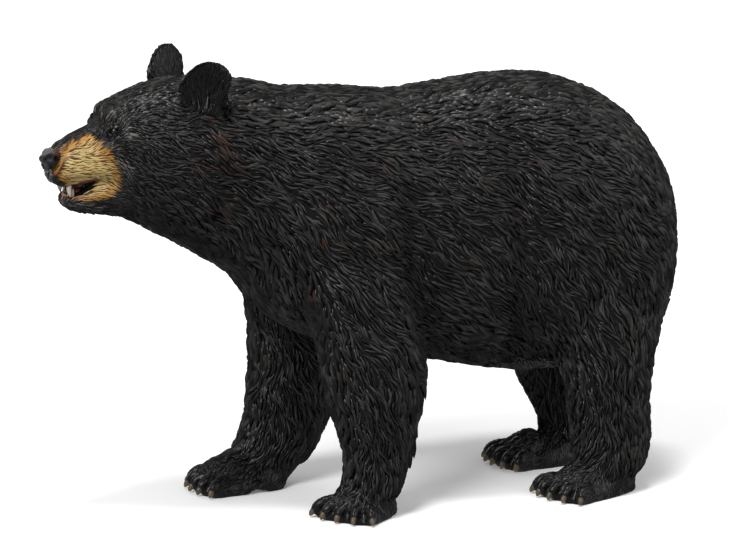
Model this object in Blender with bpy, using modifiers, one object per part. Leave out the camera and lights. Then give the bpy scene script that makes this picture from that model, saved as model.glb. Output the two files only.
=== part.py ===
"""A moulded toy figurine of an American black bear, standing, as separate closed solids.

The bear faces -Y, its left side is +X and +Z is up, in metres, and it stands on z = 0.
Its flesh is lofted from a few named stations, fused and smoothed as one body, and then
parted by thin cuts into the pieces that a person would name.
"""

import math

import bmesh
import bpy
from mathutils import Matrix, Vector

MM = 0.001
GAP = 0.3 * MM  # clearance left by every cut, and between neighbouring pieces
SIDES = {"left": 1, "right": -1}
SHARP_ANGLE = math.radians(50)  # edges sharper than this are drawn sharp


def at(forward, outward, up, side=1):
    """A point in metres, from millimetres ahead, to the left (or right, for side -1) and up."""
    return Vector((side * outward, -forward, up)) * MM


# ---------------------------------------------------------------- driving sizes, in millimetres
RING_POINTS = 28  # points round each lofted section
RINGS_PER_STATION = 4  # sections interpolated from one station to the next
# How the fused flesh is meshed for each group of pieces: voxel, smoothing rounds, and the
# triangles that the whole bear would have at that fineness.
FINENESS = {"trunk": (0.8, 8, 2100), "paws": (0.42, 6, 4500), "head": (0.42, 5, 8600)}

# Vertical sections, front to back: forward, top, bottom, half width, share of the height
# at which the section is widest, and roundness (2 is an ellipse, more is squarer).
TRUNK = [
    (22.4, 60.6, 37.2, 8.5, 0.50, 2.0),
    (17.5, 63.0, 30.3, 12.6, 0.48, 2.1),
    (10.0, 62.5, 25.4, 15.2, 0.46, 2.2),
    (3.0, 62.2, 23.4, 15.9, 0.45, 2.2),
    (-4.0, 61.4, 21.9, 15.8, 0.44, 2.2),
    (-11.0, 62.0, 20.2, 16.6, 0.43, 2.2),
    (-19.0, 62.8, 18.5, 17.7, 0.43, 2.2),
    (-27.0, 62.7, 17.6, 17.9, 0.45, 2.2),
    (-34.0, 60.8, 19.2, 17.3, 0.48, 2.2),
    (-39.2, 57.9, 22.2, 15.8, 0.50, 2.1),
    (-43.5, 53.8, 25.6, 13.2, 0.52, 2.0),
    (-47.0, 48.3, 29.2, 9.0, 0.52, 2.0),
    (-48.6, 43.2, 33.0, 5.4, 0.50, 2.0),
    (-49.1, 39.8, 36.0, 2.2, 0.50, 2.0),
]
NECK_AND_SKULL = [
    (12.0, 62.4, 28.0, 12.6, 0.48, 2.1),
    (18.0, 64.0, 32.6, 12.6, 0.47, 2.1),
    (23.0, 64.7, 36.6, 11.9, 0.46, 2.1),
    (28.0, 65.0, 39.7, 11.2, 0.44, 2.1),
    (32.0, 65.0, 41.9, 10.6, 0.42, 2.1),
    (36.0, 64.0, 44.0, 9.5, 0.44, 2.1),
    (38.6, 62.9, 45.4, 8.1, 0.50, 2.2),
    (40.5, 61.8, 47.2, 6.5, 0.62, 2.3),
    (41.4, 60.4, 50.6, 4.4, 0.62, 2.2),
]
MUZZLE = [
    (37.0, 59.6, 50.0, 6.6, 0.40, 2.2),
    (40.5, 59.9, 50.4, 6.3, 0.36, 2.3),
    (43.0, 58.8, 50.7, 5.3, 0.34, 2.4),
    (45.0, 58.0, 50.8, 4.6, 0.34, 2.4),
    (47.0, 57.1, 50.8, 4.1, 0.36, 2.4),
    (48.6, 56.0, 50.7, 3.5, 0.40, 2.3),
    (49.4, 54.6, 51.1, 2.6, 0.45, 2.0),
]
LOWER_JAW = [
    (34.0, 50.5, 43.8, 6.6, 0.55, 2.1),
    (38.0, 51.0, 45.2, 6.3, 0.60, 2.1),
    (41.5, 51.6, 45.9, 5.4, 0.62, 2.2),
    (44.0, 50.6, 46.2, 4.4, 0.60, 2.2),
    (46.2, 49.4, 46.7, 3.5, 0.58, 2.2),
    (47.3, 49.1, 47.6, 2.4, 0.55, 2.0),
]
NOSE = [
    (46.6, 57.3, 51.8, 2.4, 0.50, 2.2),
    (47.6, 57.0, 51.9, 2.7, 0.55, 2.4),
    (48.6, 56.2, 51.9, 2.8, 0.60, 2.5),
    (49.5, 55.5, 52.3, 2.6, 0.62, 2.5),
    (50.2, 54.8, 52.9, 2.0, 0.62, 2.4),
    (50.5, 54.3, 53.5, 1.0, 0.60, 2.0),
]
TONGUE = [
    (44.3, 51.1, 50.8, 1.0, 0.50, 2.0),
    (45.2, 51.0, 50.2, 1.8, 0.50, 2.4),
    (46.4, 50.6, 49.8, 1.8, 0.50, 2.4),
    (47.2, 50.3, 49.7, 1.0, 0.50, 2.0),
]
# The mouth from the side, as (forward, up) corners: its open wedge with the jaw below it,
# and the jaw alone, a gap smaller behind.
MOUTH_SIDE = [(42.6, 51.9), (46.0, 51.5), (53.0, 51.1), (53.0, 42.0), (39.7, 42.0)]
JAW_SIDE = [(43.0, 51.5), (44.6, 50.2), (46.6, 49.1), (53.0, 48.7), (53.0, 42.0), (40.0, 42.0)]

# Level sections of a leg, top to bottom: height, forward, outward, half length, half width.
FORELEG = {
    "left": [
        (44.0, 5.8, 11.4, 2.4, 1.2),
        (41.0, 5.8, 11.4, 6.4, 3.4),
        (36.0, 5.4, 11.6, 8.6, 4.8),
        (30.0, 4.6, 11.6, 8.8, 5.4),
        (25.0, 3.8, 11.6, 8.3, 5.6),
        (20.0, 3.4, 11.7, 7.7, 5.5),
        (15.0, 3.2, 11.8, 6.6, 5.2),
        (10.0, 3.1, 12.0, 5.1, 4.8),
        (6.0, 3.5, 12.0, 4.5, 4.6),
        (2.5, 4.5, 12.1, 3.9, 4.4),
        (-1.0, 5.8, 12.2, 3.2, 3.8),
    ],
    "right": [
        (44.0, 7.4, 11.4, 2.4, 1.2),
        (41.0, 7.4, 11.4, 6.4, 3.4),
        (36.0, 7.2, 11.6, 8.2, 4.8),
        (30.0, 7.0, 11.6, 8.2, 5.4),
        (25.0, 7.0, 11.6, 7.5, 5.6),
        (20.0, 7.5, 11.6, 6.8, 5.5),
        (15.0, 8.0, 11.4, 6.6, 5.2),
        (10.0, 8.7, 11.2, 6.7, 4.8),
        (6.0, 10.5, 11.1, 6.5, 4.6),
        (2.5, 12.2, 11.0, 5.0, 4.4),
        (-1.0, 14.0, 11.0, 3.6, 3.8),
    ],
}
HINDLEG = {
    "left": [
        (49.0, -35.6, 10.0, 3.0, 1.6),
        (46.0, -35.6, 10.0, 7.4, 4.6),
        (40.0, -35.3, 10.2, 10.5, 6.6),
        (34.0, -35.0, 10.6, 10.7, 6.8),
        (28.0, -34.9, 11.0, 9.4, 6.4),
        (23.0, -34.7, 11.3, 7.9, 5.9),
        (18.0, -34.5, 11.6, 6.9, 5.4),
        (13.0, -34.6, 11.9, 6.4, 5.0),
        (8.0, -35.0, 12.2, 6.2, 4.8),
        (4.0, -34.2, 12.4, 5.4, 4.6),
        (-1.0, -32.8, 12.4, 3.8, 4.0),
    ],
    "right": [
        (49.0, -35.6, 10.0, 3.0, 1.6),
        (46.0, -35.6, 10.0, 7.4, 4.6),
        (40.0, -35.3, 10.2, 10.5, 6.6),
        (34.0, -35.1, 10.6, 10.8, 6.8),
        (28.0, -35.1, 10.7, 9.6, 6.4),
        (23.0, -35.2, 10.6, 8.1, 5.9),
        (18.0, -35.4, 10.3, 7.2, 5.4),
        (13.0, -36.5, 10.0, 6.7, 5.0),
        (8.0, -38.2, 9.7, 5.6, 4.7),
        (4.0, -38.6, 9.5, 4.8, 4.6),
        (-1.0, -37.6, 9.4, 4.0, 4.0),
    ],
}

# A paw: heel's forward and outward place, length, half width, and turn-out in degrees.
PAW = {
    "forepaw_left": (1.4, 8.8, 10.9, 5.2, 35),
    "forepaw_right": (9.8, 10.2, 14.1, 5.1, -1),
    "hindpaw_left": (-38.3, 10.0, 15.0, 5.2, 19),
    "hindpaw_right": (-41.6, 8.9, 17.0, 5.2, -5),
}
# Sections of a paw along its length: share of the length, height, share of the half width.
PAW_SHAPE = [
    (0.00, 2.0, 0.42),
    (0.08, 3.8, 0.76),
    (0.30, 5.0, 0.92),
    (0.55, 3.9, 1.00),
    (0.75, 3.0, 0.98),
    (0.90, 2.4, 0.84),
    (0.96, 1.9, 0.62),
]
TOES = 5
TOE_RADIUS = (1.15, 1.9, 1.35)  # across, along and up
TOE_HEIGHT = 0.9
TOE_FAN = 56  # degrees of arc that the five toes are set on
CLAW_LENGTH = 1.7
CLAW_RADIUS = 0.5
CLAW_HEIGHT = 0.95
CLAW_BEND = (18, 70)  # degrees below level, at its root and at its tip
CLAW_ROOT = 0.75  # where it starts, as a share of the toe's half length
CLAW_TAPER = 0.82  # share of its radius that it loses by the tip
CLAW_FLATNESS = 0.8  # its width against its depth
CLAW_RINGS = 3
CLAW_SIDES = 6

EAR_CENTRE = (28.0, 8.9, 63.7)  # forward, outward, up
EAR_RADII = (4.1, 1.6, 5.1)  # half width, half thickness, half height
EAR_FACING = 63  # degrees outward from straight ahead
EAR_SPLAY = 12  # degrees that the top leans outward
EAR_DISH = 1.5  # depth of the hollow in front

EYE_CENTRE = (40.9, 4.85, 58.6)
EYE_RADIUS = 0.75
EYE_GAP = 0.1
# Canines: forward, outward and up at the gum, and length, which is negative for one that
# points down.
UPPER_CANINE = (47.3, 2.6, 51.5, -1.8)
LOWER_CANINE = (46.4, 2.1, 48.8, 1.4)
TOOTH_RADIUS = (0.42, 0.12)  # at the gum and at the tip
TAIL_ROOT = (-49.0, 41.5)  # forward, up
TAIL_RADII = (2.0, 1.4, 3.2)  # half width, half thickness, half length
TAIL_LIFT = 6  # degrees that its tip leans out from the rump

# Flat cuts: a point on each, and its normal, towards the head.
NOSE_CUT = (at(48.2, 0, 54.4), at(5.0, 0, 3.0))
HEAD_CUT = (at(27.0, 0, 53.7), at(29.0, 0, 8.3))
NECK_CUT = (at(17.5, 0, 48.0), at(36.0, 0, 8.0))
WAIST_CUT = (at(-5.0, 0, 41.0), at(46.0, 0, -4.0))
# A leg is what lies in a prism of its side outline, this much larger all round, outside a
# plane that slants from the crotch, given as (outward, up), to the shoulder or hip.
LIMB_REGION = 1.6
LIMB_SLANT = {"foreleg": ((5.6, 20.0), (17.6, 46.0)), "hindleg": ((5.0, 17.0), (18.4, 50.0))}
BODY_REACH = 30.0  # half width of a cutter that passes right through the body
WRIST_HEIGHT = 6.6
ANKLE_HEIGHT = 7.4
MID_BODY = -8  # a forward place between the forepaws and the hind paws

# Each slot's colour and roughness.
FINISHES = {
    "coat": ((0.020, 0.018, 0.019), 0.42),
    "muzzle": ((0.60, 0.38, 0.14), 0.45),
    "nose": ((0.030, 0.027, 0.028), 0.35),
    "tongue": ((0.25, 0.045, 0.04), 0.35),
    "claw": ((0.30, 0.22, 0.15), 0.45),
    "eye": ((0.030, 0.012, 0.008), 0.08),
}


# ---------------------------------------------------------------- places, materials and objects
def collection(name):
    made = bpy.data.collections.new(name)
    bpy.context.scene.collection.children.link(made)
    return made


def finish(slot):
    """The Principled material of one kind of surface, made once."""
    found = bpy.data.materials.get(slot)
    if found:
        return found
    colour, roughness = FINISHES[slot]
    made = bpy.data.materials.new(slot)
    made.use_nodes = True
    shader = made.node_tree.nodes["Principled BSDF"]
    shader.inputs["Base Color"].default_value = (*colour, 1)
    shader.inputs["Roughness"].default_value = roughness
    shader.inputs["Metallic"].default_value = 0.0
    return made


def new_object(name, bm, home):
    """Turns a bmesh into a hidden helper object of the collection `home`."""
    bmesh.ops.recalc_face_normals(bm, faces=bm.faces)
    mesh = bpy.data.meshes.new(name)
    bm.to_mesh(mesh)
    bm.free()
    made = bpy.data.objects.new(name, mesh)
    made.hide_render = True
    made.display_type = "WIRE"
    home.objects.link(made)
    return made


def evaluated_copy(source, name, home, modifiers=()):
    """A new object holding `source` after a list of (type, settings) modifiers."""
    made = source.copy()
    made.name = name
    home.objects.link(made)
    for kind, settings in modifiers:
        modifier = made.modifiers.new(kind.title(), kind)
        for key, value in settings.items():
            setattr(modifier, key, value)
    graph = bpy.context.evaluated_depsgraph_get()
    mesh = bpy.data.meshes.new_from_object(made.evaluated_get(graph))
    made.modifiers.clear()
    made.data = mesh
    return made


def node(source, name, home, slot, modifiers=()):
    """A finished piece of the bear: a copy that is shown, in its slot's material."""
    made = evaluated_copy(source, name, home, modifiers)
    made.hide_render = False
    made.display_type = "TEXTURED"
    made.data.materials.clear()
    made.data.materials.append(finish(slot))
    made.data.shade_smooth()
    made.data.set_sharp_from_angle(angle=SHARP_ANGLE)
    return made


def boolean(operation, cutter):
    return ("BOOLEAN", {"operation": operation, "object": cutter, "solver": "EXACT"})


# ---------------------------------------------------------------- lofts
def interpolated(stations, steps=RINGS_PER_STATION):
    """The stations, with smooth (Catmull-Rom) rows added between them."""
    rows = []
    last = len(stations) - 1
    for i in range(last):
        before = stations[max(i - 1, 0)]
        here, there = stations[i], stations[i + 1]
        after = stations[min(i + 2, last)]
        for step in range(steps):
            t = step / steps
            rows.append([
                0.5 * (2 * b + (c - a) * t + (2 * a - 5 * b + 4 * c - d) * t * t
                       + (3 * b - a - 3 * c + d) * t ** 3)
                for a, b, c, d in zip(before, here, there, after)
            ])
    rows.append(list(stations[last]))
    return rows


def power(value, exponent):
    return math.copysign(abs(value) ** exponent, value)


def ring_angles(count=RING_POINTS):
    return [2 * math.pi * i / count for i in range(count)]


def upright_ring(row, count=RING_POINTS):
    """A vertical section: forward, top, bottom, half width, height share, roundness."""
    forward, top, bottom, width, share, roundness = row
    middle = bottom + (top - bottom) * share
    points = []
    for angle in ring_angles(count):
        rise = power(math.sin(angle), 2 / roundness)
        reach = top - middle if rise > 0 else middle - bottom
        outward = width * power(math.cos(angle), 2 / roundness)
        points.append(at(forward, outward, middle + reach * rise))
    return points


def level_ring(row, side):
    """A level section of a leg: height, forward, outward, half length, half width."""
    height, forward, outward, length, width = row
    return [
        at(forward + length * math.cos(angle), outward + width * math.sin(angle), height, side)
        for angle in ring_angles()
    ]


def loft(name, rings, home):
    """A closed skin through the rings, capped at both ends."""
    bm = bmesh.new()
    loops = [[bm.verts.new(point) for point in ring] for ring in rings]
    for lower, upper in zip(loops, loops[1:]):
        count = len(lower)
        for i in range(count):
            j = (i + 1) % count
            bm.faces.new((lower[i], lower[j], upper[j], upper[i]))
    bm.faces.new(loops[0])
    bm.faces.new(loops[-1])
    return new_object(name, bm, home)


def upright_loft(name, stations, home, count=RING_POINTS, steps=RINGS_PER_STATION):
    return loft(name, [upright_ring(row, count) for row in interpolated(stations, steps)], home)


def leg_loft(name, stations, side, home):
    return loft(name, [level_ring(row, side) for row in interpolated(stations)], home)


def leg_region(leg, stations, side, home, grow):
    """The prism that cuts a leg from the trunk, with its slanting inner face."""
    ahead = [(row[1] + row[3] + grow, row[0]) for row in stations]
    behind = [(row[1] - row[3] - grow, row[0]) for row in reversed(stations)]
    prism = side_prism("leg_prism", ahead + behind, BODY_REACH, home)
    crotch, shoulder = [at(0, *place, side) for place in LIMB_SLANT[leg]]
    rise = (shoulder - crotch).normalized()
    outward = Vector((side * rise.z, 0, -abs(rise.x)))
    return half(prism, "leg_region", home, crotch - outward * grow * MM, outward)


# ---------------------------------------------------------------- the flesh
def paw_frame(name):
    """A paw's matrix: its own +Y runs from the heel to the toes, and +X to its outer side."""
    heel_forward, heel_outward, length, half_width, turn = PAW[name]
    side = SIDES[name.split("_")[1]]
    yaw = Matrix.Rotation(math.pi + side * math.radians(turn), 4, "Z")
    return Matrix.Translation(at(heel_forward, heel_outward, 0, side)) @ yaw


def toe_places(name):
    """Where each toe of a paw sits: across and along in the paw's own frame, and its turn."""
    length, half_width = PAW[name][2:4]
    arc = math.radians(TOE_FAN)
    radius = (half_width - TOE_RADIUS[0]) / math.sin(arc / 2)
    centre = length - TOE_RADIUS[1] - radius
    for toe in range(TOES):
        angle = (toe / (TOES - 1) - 0.5) * arc
        yield radius * math.sin(angle), centre + radius * math.cos(angle), angle


def paw_flesh(name, home):
    """The paw's body as a loft, and its toes as five ellipsoids."""
    length, half_width = PAW[name][2:4]
    place = paw_frame(name)
    rings = []
    for share, height, width in interpolated(PAW_SHAPE):
        rings.append([
            place @ (Vector((
                width * half_width * power(math.cos(angle), 0.8),
                share * length,
                max(-1.0, height * power(math.sin(angle), 0.8)),
            )) * MM)
            for angle in ring_angles()
        ])
    made = [loft(name + "_body", rings, home)]
    for across, along, turn in toe_places(name):
        bm = bmesh.new()
        bmesh.ops.create_uvsphere(bm, u_segments=16, v_segments=10, radius=1)
        shape = Matrix.Diagonal((*[r * MM for r in TOE_RADIUS], 1))
        spot = Matrix.Translation(Vector((across, along, TOE_HEIGHT)) * MM)
        bm.transform(place @ spot @ Matrix.Rotation(-turn, 4, "Z") @ shape)
        made.append(new_object(name + "_toe", bm, home))
    return made


def flesh_forms(home):
    """Every overlapping form that the body is fused from."""
    forms = [
        upright_loft("trunk_form", TRUNK, home),
        upright_loft("skull_form", NECK_AND_SKULL, home),
        upright_loft("muzzle_form", MUZZLE, home),
        upright_loft("jaw_form", LOWER_JAW, home),
    ]
    for word, side in SIDES.items():
        forms.append(leg_loft("foreleg_form", FORELEG[word], side, home))
        forms.append(leg_loft("hindleg_form", HINDLEG[word], side, home))
    for name in PAW:
        forms += paw_flesh(name, home)
    return forms


def joined(forms, name, home):
    bm = bmesh.new()
    for form in forms:
        bm.from_mesh(form.data)
    return new_object(name, bm, home)


def fused(source, name, home):
    """One closed skin round all the forms, with rounded meetings, as fine as `name` needs."""
    voxel, smoothing, faces = FINENESS[name]
    remesh = ("REMESH", {"mode": "VOXEL", "voxel_size": voxel * MM})
    smooth = ("SMOOTH", {"factor": 0.5, "iterations": smoothing})
    dense = evaluated_copy(source, f"{name}_dense", home, [remesh, smooth])
    dense.data.calc_loop_triangles()
    ratio = min(1.0, faces / len(dense.data.loop_triangles))
    return evaluated_copy(dense, f"{name}_flesh", home, [("DECIMATE", {"ratio": ratio})])


# ---------------------------------------------------------------- cuts
def half(source, name, home, point, normal):
    """The part of a closed object on the side that `normal` points to, half a gap off the plane."""
    bm = bmesh.new()
    bm.from_mesh(source.data)
    normal = normal.normalized()
    bmesh.ops.bisect_plane(
        bm, geom=bm.verts[:] + bm.edges[:] + bm.faces[:], dist=1e-7,
        plane_co=point + normal * GAP / 2, plane_no=normal, clear_inner=True,
    )
    rim = [edge for edge in bm.edges if edge.is_boundary]
    bmesh.ops.holes_fill(bm, edges=rim, sides=0)
    bmesh.ops.triangulate(bm, faces=[face for face in bm.faces if len(face.verts) > 4])
    return new_object(name, bm, home)


def parted(source, names, home, point, normal):
    """Both sides of a flat cut: the side that `normal` points to, then the other."""
    return [half(source, name, home, point, way) for name, way in zip(names, (normal, -normal))]


def below(source, name, home, height):
    return half(source, name, home, Vector((0, 0, height * MM)), Vector((0, 0, -1)))


def above(source, name, home, height):
    return half(source, name, home, Vector((0, 0, height * MM)), Vector((0, 0, 1)))


def side_prism(name, outline, half_width, home):
    """A closed cutter: a side outline of (forward, up) corners, run across the body."""
    bm = bmesh.new()
    near = [bm.verts.new(at(forward, -half_width, up)) for forward, up in outline]
    face = bm.faces.new(near)
    pulled = bmesh.ops.extrude_face_region(bm, geom=[face])["geom"]
    moved = [part for part in pulled if isinstance(part, bmesh.types.BMVert)]
    bmesh.ops.translate(bm, verts=moved, vec=Vector((2 * half_width * MM, 0, 0)))
    return new_object(name, bm, home)


# ---------------------------------------------------------------- pieces set on the flesh
def ellipsoid(radii, segments=16, rings=10):
    bm = bmesh.new()
    bmesh.ops.create_uvsphere(bm, u_segments=segments, v_segments=rings, radius=1)
    bm.transform(Matrix.Diagonal((*[radius * MM for radius in radii], 1)))
    return bm


def ear(word, side, grown, home, scratch):
    """A round upright ear, hollowed in front, that faces forward and outward."""
    half_width, half_thickness, half_height = EAR_RADII
    bm = ellipsoid((half_width, half_thickness, half_height))
    for vert in bm.verts:
        if vert.co.y < 0:
            reach = (vert.co.x / half_width) ** 2 + (vert.co.z / half_height) ** 2
            vert.co.y += EAR_DISH * MM * max(0.0, 1 - reach / MM ** 2)
    lean = Matrix.Rotation(side * math.radians(EAR_SPLAY), 4, "Y")
    facing = Matrix.Rotation(side * math.radians(EAR_FACING), 4, "Z")
    bm.transform(Matrix.Translation(at(*EAR_CENTRE, side)) @ lean @ facing)
    blank = new_object("ear_blank", bm, scratch)
    return node(blank, f"ear_{word}", home, "coat", [boolean("DIFFERENCE", grown)])


def claw(name, place, grown, home, scratch):
    """A short hooked claw: a tapering tube on an arc, out of the toe and down to the ground."""
    rings = []
    middle = Vector((0, 0, 0))
    for i in range(CLAW_RINGS):
        share = i / (CLAW_RINGS - 1)
        bend = math.radians(CLAW_BEND[0] + (CLAW_BEND[1] - CLAW_BEND[0]) * share)
        radius = CLAW_RADIUS * (1 - CLAW_TAPER * share ** 1.4)
        tilt = Matrix.Rotation(-bend, 3, "X")
        rings.append([])
        for angle in ring_angles(CLAW_SIDES):
            spoke = Vector((CLAW_FLATNESS * radius * math.cos(angle), 0, radius * math.sin(angle)))
            rings[-1].append(place @ ((middle + tilt @ spoke) * MM))
        middle = middle + tilt @ Vector((0, CLAW_LENGTH / (CLAW_RINGS - 1), 0))
    blank = loft("claw_blank", rings, scratch)
    return node(blank, name, home, "claw", [boolean("DIFFERENCE", grown)])


def claws(paw, grown, home, scratch):
    """The five claws of a paw, numbered from its outer side."""
    foot, word = paw.split("_")
    for number, (across, along, turn) in enumerate(toe_places(paw), 1):
        root = CLAW_ROOT * TOE_RADIUS[1]
        reach = Vector((across + root * math.sin(turn), along + root * math.cos(turn), CLAW_HEIGHT))
        place = paw_frame(paw) @ Matrix.Translation(reach * MM) @ Matrix.Rotation(-turn, 4, "Z")
        claw(f"claw_{foot}_{word}_{number}", place, grown, home, scratch)


def with_canines(jaw, tooth, home):
    """The jaw piece with a cone for each of its two canines."""
    forward, outward, up, length = tooth
    for side in SIDES.values():
        bm = bmesh.new()
        bmesh.ops.create_cone(
            bm, cap_ends=True, segments=8, depth=abs(length) * MM,
            radius1=TOOTH_RADIUS[0] * MM, radius2=TOOTH_RADIUS[1] * MM,
        )
        flip = Matrix.Rotation(0 if length > 0 else math.pi, 4, "X")
        bm.transform(Matrix.Translation(at(forward, outward, up + length / 2, side)) @ flip)
        cone = new_object("canine", bm, home)
        jaw = evaluated_copy(jaw, "with_canine", home, [boolean("UNION", cone)])
    return jaw


# ---------------------------------------------------------------- the whole bear
def legs(flesh, home, scratch):
    """Makes the four legs down to their wrists, and returns the cutters that clear them."""
    cutters = []
    for leg, tables, joint in (("foreleg", FORELEG, WRIST_HEIGHT), ("hindleg", HINDLEG, ANKLE_HEIGHT)):
        shaft = above(flesh, "shaft", scratch, joint)
        for word, side in SIDES.items():
            region = leg_region(leg, tables[word], side, scratch, LIMB_REGION)
            node(shaft, f"{leg}_{word}", home, "coat", [boolean("INTERSECT", region)])
            cutters.append(leg_region(leg, tables[word], side, scratch, LIMB_REGION + GAP / MM))
    return cutters


def paws(flesh, grown, home, scratch):
    """Makes the four paws, each what lies below the joint at its own corner, and their claws."""
    for paw in PAW:
        foot, word = paw.split("_")
        joint = WRIST_HEIGHT if foot == "forepaw" else ANKLE_HEIGHT
        ahead = Vector((0, -1 if foot == "forepaw" else 1, 0))
        low = below(above(flesh, "low", scratch, -GAP / MM / 2), "low", scratch, joint)
        outer = half(low, "outer", scratch, Vector((0, 0, 0)), Vector((SIDES[word], 0, 0)))
        node(half(outer, "corner", scratch, at(MID_BODY, 0, 0), ahead), paw, home, "coat")
        claws(paw, grown, home, scratch)


def torso(flesh, leg_cutters, home, scratch):
    """Makes the trunk and the neck: what the legs leave, parted by flat cuts."""
    left = above(flesh, "torso", scratch, ANKLE_HEIGHT + 1)
    left = evaluated_copy(left, "torso", scratch, [boolean("DIFFERENCE", cut) for cut in leg_cutters])
    front, rear = parted(left, ("front", "rear"), scratch, *WAIST_CUT)
    neck, chest = parted(front, ("nape", "chest"), scratch, *NECK_CUT)
    node(rear, "trunk_rear", home, "coat")
    node(chest, "trunk_front", home, "coat")
    node(half(neck, "nape", scratch, HEAD_CUT[0], -HEAD_CUT[1]), "neck", home, "coat")


def eye_ball(name, radius, side, scratch):
    bm = ellipsoid((radius, radius, radius), 10, 6)
    bm.transform(Matrix.Translation(at(*EYE_CENTRE, side)))
    return new_object(name, bm, scratch)


def head(flesh, grown, home, scratch):
    """Makes the head, the lower jaw under its open mouth, the tongue, nose, eyes and ears."""
    skull = half(above(flesh, "skull", scratch, WRIST_HEIGHT), "skull", scratch, *HEAD_CUT)
    mouth = side_prism("mouth_cutter", MOUTH_SIDE, BODY_REACH, scratch)
    cuts = [boolean("DIFFERENCE", mouth)]
    for word, side in SIDES.items():
        cuts.append(boolean("DIFFERENCE", eye_ball("socket", EYE_RADIUS + EYE_GAP, side, scratch)))
        node(eye_ball("eye_blank", EYE_RADIUS, side, scratch), f"eye_{word}", home, "eye")
        ear(word, side, grown, home, scratch)
    upper = half(evaluated_copy(skull, "upper", scratch, cuts), "upper", scratch, NOSE_CUT[0], -NOSE_CUT[1])
    node(with_canines(upper, UPPER_CANINE, scratch), "head", home, "coat")

    lower = side_prism("jaw_cutter", JAW_SIDE, BODY_REACH, scratch)
    jaw = evaluated_copy(skull, "jaw", scratch, [boolean("INTERSECT", lower)])
    node(with_canines(jaw, LOWER_CANINE, scratch), "lower_jaw", home, "muzzle")
    node(upright_loft("tongue_form", TONGUE, scratch, 12, 2), "tongue", home, "tongue")
    nose = upright_loft("nose_form", NOSE, scratch, 16, 2)
    node(half(nose, "nose_front", scratch, *NOSE_CUT), "nose", home, "nose")


def tail(grown, home, scratch):
    bm = ellipsoid(TAIL_RADII, 12, 8)
    lift = Matrix.Rotation(math.radians(-TAIL_LIFT), 4, "X")
    bm.transform(Matrix.Translation(at(TAIL_ROOT[0], 0, TAIL_ROOT[1])) @ lift)
    blank = new_object("tail_blank", bm, scratch)
    node(blank, "tail", home, "coat", [boolean("DIFFERENCE", grown)])


def centre_on_origin(home):
    """Moves every piece alike, until the middle of the bear's base lies on the origin."""
    corners = [vert.co for piece in home.objects for vert in piece.data.vertices]
    lowest = [min(corner[axis] for corner in corners) for axis in range(3)]
    highest = [max(corner[axis] for corner in corners) for axis in range(2)]
    middle = Vector((lowest[0] + highest[0], lowest[1] + highest[1], 2 * lowest[2])) / 2
    for piece in home.objects:
        piece.data.transform(Matrix.Translation(-middle))


def build():
    for obj in list(bpy.data.objects):
        bpy.data.objects.remove(obj, do_unlink=True)
    home = collection("black_bear_figurine")
    scratch = collection("cutters")
    scratch.hide_render = True

    blank = joined(flesh_forms(scratch), "forms", scratch)
    flesh = {name: fused(blank, name, scratch) for name in FINENESS}
    swell = ("DISPLACE", {"strength": GAP, "mid_level": 0.0})
    grown = evaluated_copy(flesh["head"], "grown", scratch, [swell])

    leg_cutters = legs(flesh["trunk"], home, scratch)
    paws(flesh["paws"], grown, home, scratch)
    torso(flesh["trunk"], leg_cutters, home, scratch)
    head(flesh["head"], grown, home, scratch)
    tail(grown, home, scratch)
    centre_on_origin(home)


build()
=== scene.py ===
# %% [markdown]
# A moulded toy figurine of a standing black bear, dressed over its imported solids.
#
# The real figurine is soft vinyl. Its fur was cut into the master as thousands of wavy ridges,
# and the casting was sprayed near-black, dry-brushed with grey so that only the ridges catch
# the paint, and finished by hand on the muzzle, mouth, eyes and claws.
# The lesson follows that order: one skin, the relief on it, the paint, and the small pieces.

# %% Load the solids and clear the selection
import math

import bmesh
import bpy
import numpy as np
from mathutils import Matrix, Vector
from mathutils.bvhtree import BVHTree
from mathutils.kdtree import KDTree


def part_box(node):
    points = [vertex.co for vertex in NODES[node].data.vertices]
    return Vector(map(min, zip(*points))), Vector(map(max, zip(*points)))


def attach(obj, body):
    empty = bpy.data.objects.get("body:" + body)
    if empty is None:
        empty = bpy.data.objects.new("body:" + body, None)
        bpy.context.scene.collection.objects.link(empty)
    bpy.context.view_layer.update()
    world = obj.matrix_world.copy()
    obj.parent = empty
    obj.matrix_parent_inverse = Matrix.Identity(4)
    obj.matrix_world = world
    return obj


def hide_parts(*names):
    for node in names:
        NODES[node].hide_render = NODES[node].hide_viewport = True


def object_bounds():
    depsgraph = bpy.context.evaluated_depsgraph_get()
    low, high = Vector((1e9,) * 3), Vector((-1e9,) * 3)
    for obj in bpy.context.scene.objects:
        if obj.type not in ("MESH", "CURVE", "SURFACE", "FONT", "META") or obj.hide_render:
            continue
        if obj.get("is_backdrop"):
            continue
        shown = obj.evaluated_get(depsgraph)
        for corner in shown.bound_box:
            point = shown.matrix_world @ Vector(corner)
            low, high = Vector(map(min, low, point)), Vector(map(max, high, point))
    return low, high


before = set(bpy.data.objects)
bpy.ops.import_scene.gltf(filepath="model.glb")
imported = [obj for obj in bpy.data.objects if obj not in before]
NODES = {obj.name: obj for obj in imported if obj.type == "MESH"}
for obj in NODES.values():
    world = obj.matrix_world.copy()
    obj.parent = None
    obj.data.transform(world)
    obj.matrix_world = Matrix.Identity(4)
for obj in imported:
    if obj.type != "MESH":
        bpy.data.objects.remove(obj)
bpy.ops.object.select_all(action="DESELECT")
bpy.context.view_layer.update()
MM = 0.001

# %% [markdown]
# The bear faces -Y and its left side is +X. Its body is symmetric about an upright plane, but
# its stride isn't, so that plane lies a little off the middle of the box. It is read from the
# tongue, and every place below is given in millimetres ahead, outward from that plane and up.

# %% Places on the bear
SIDES = {"left": 1, "right": -1}


def middle_of(node):
    low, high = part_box(node)
    return (low + high) / 2


MIDPLANE = middle_of("tongue").x


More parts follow.
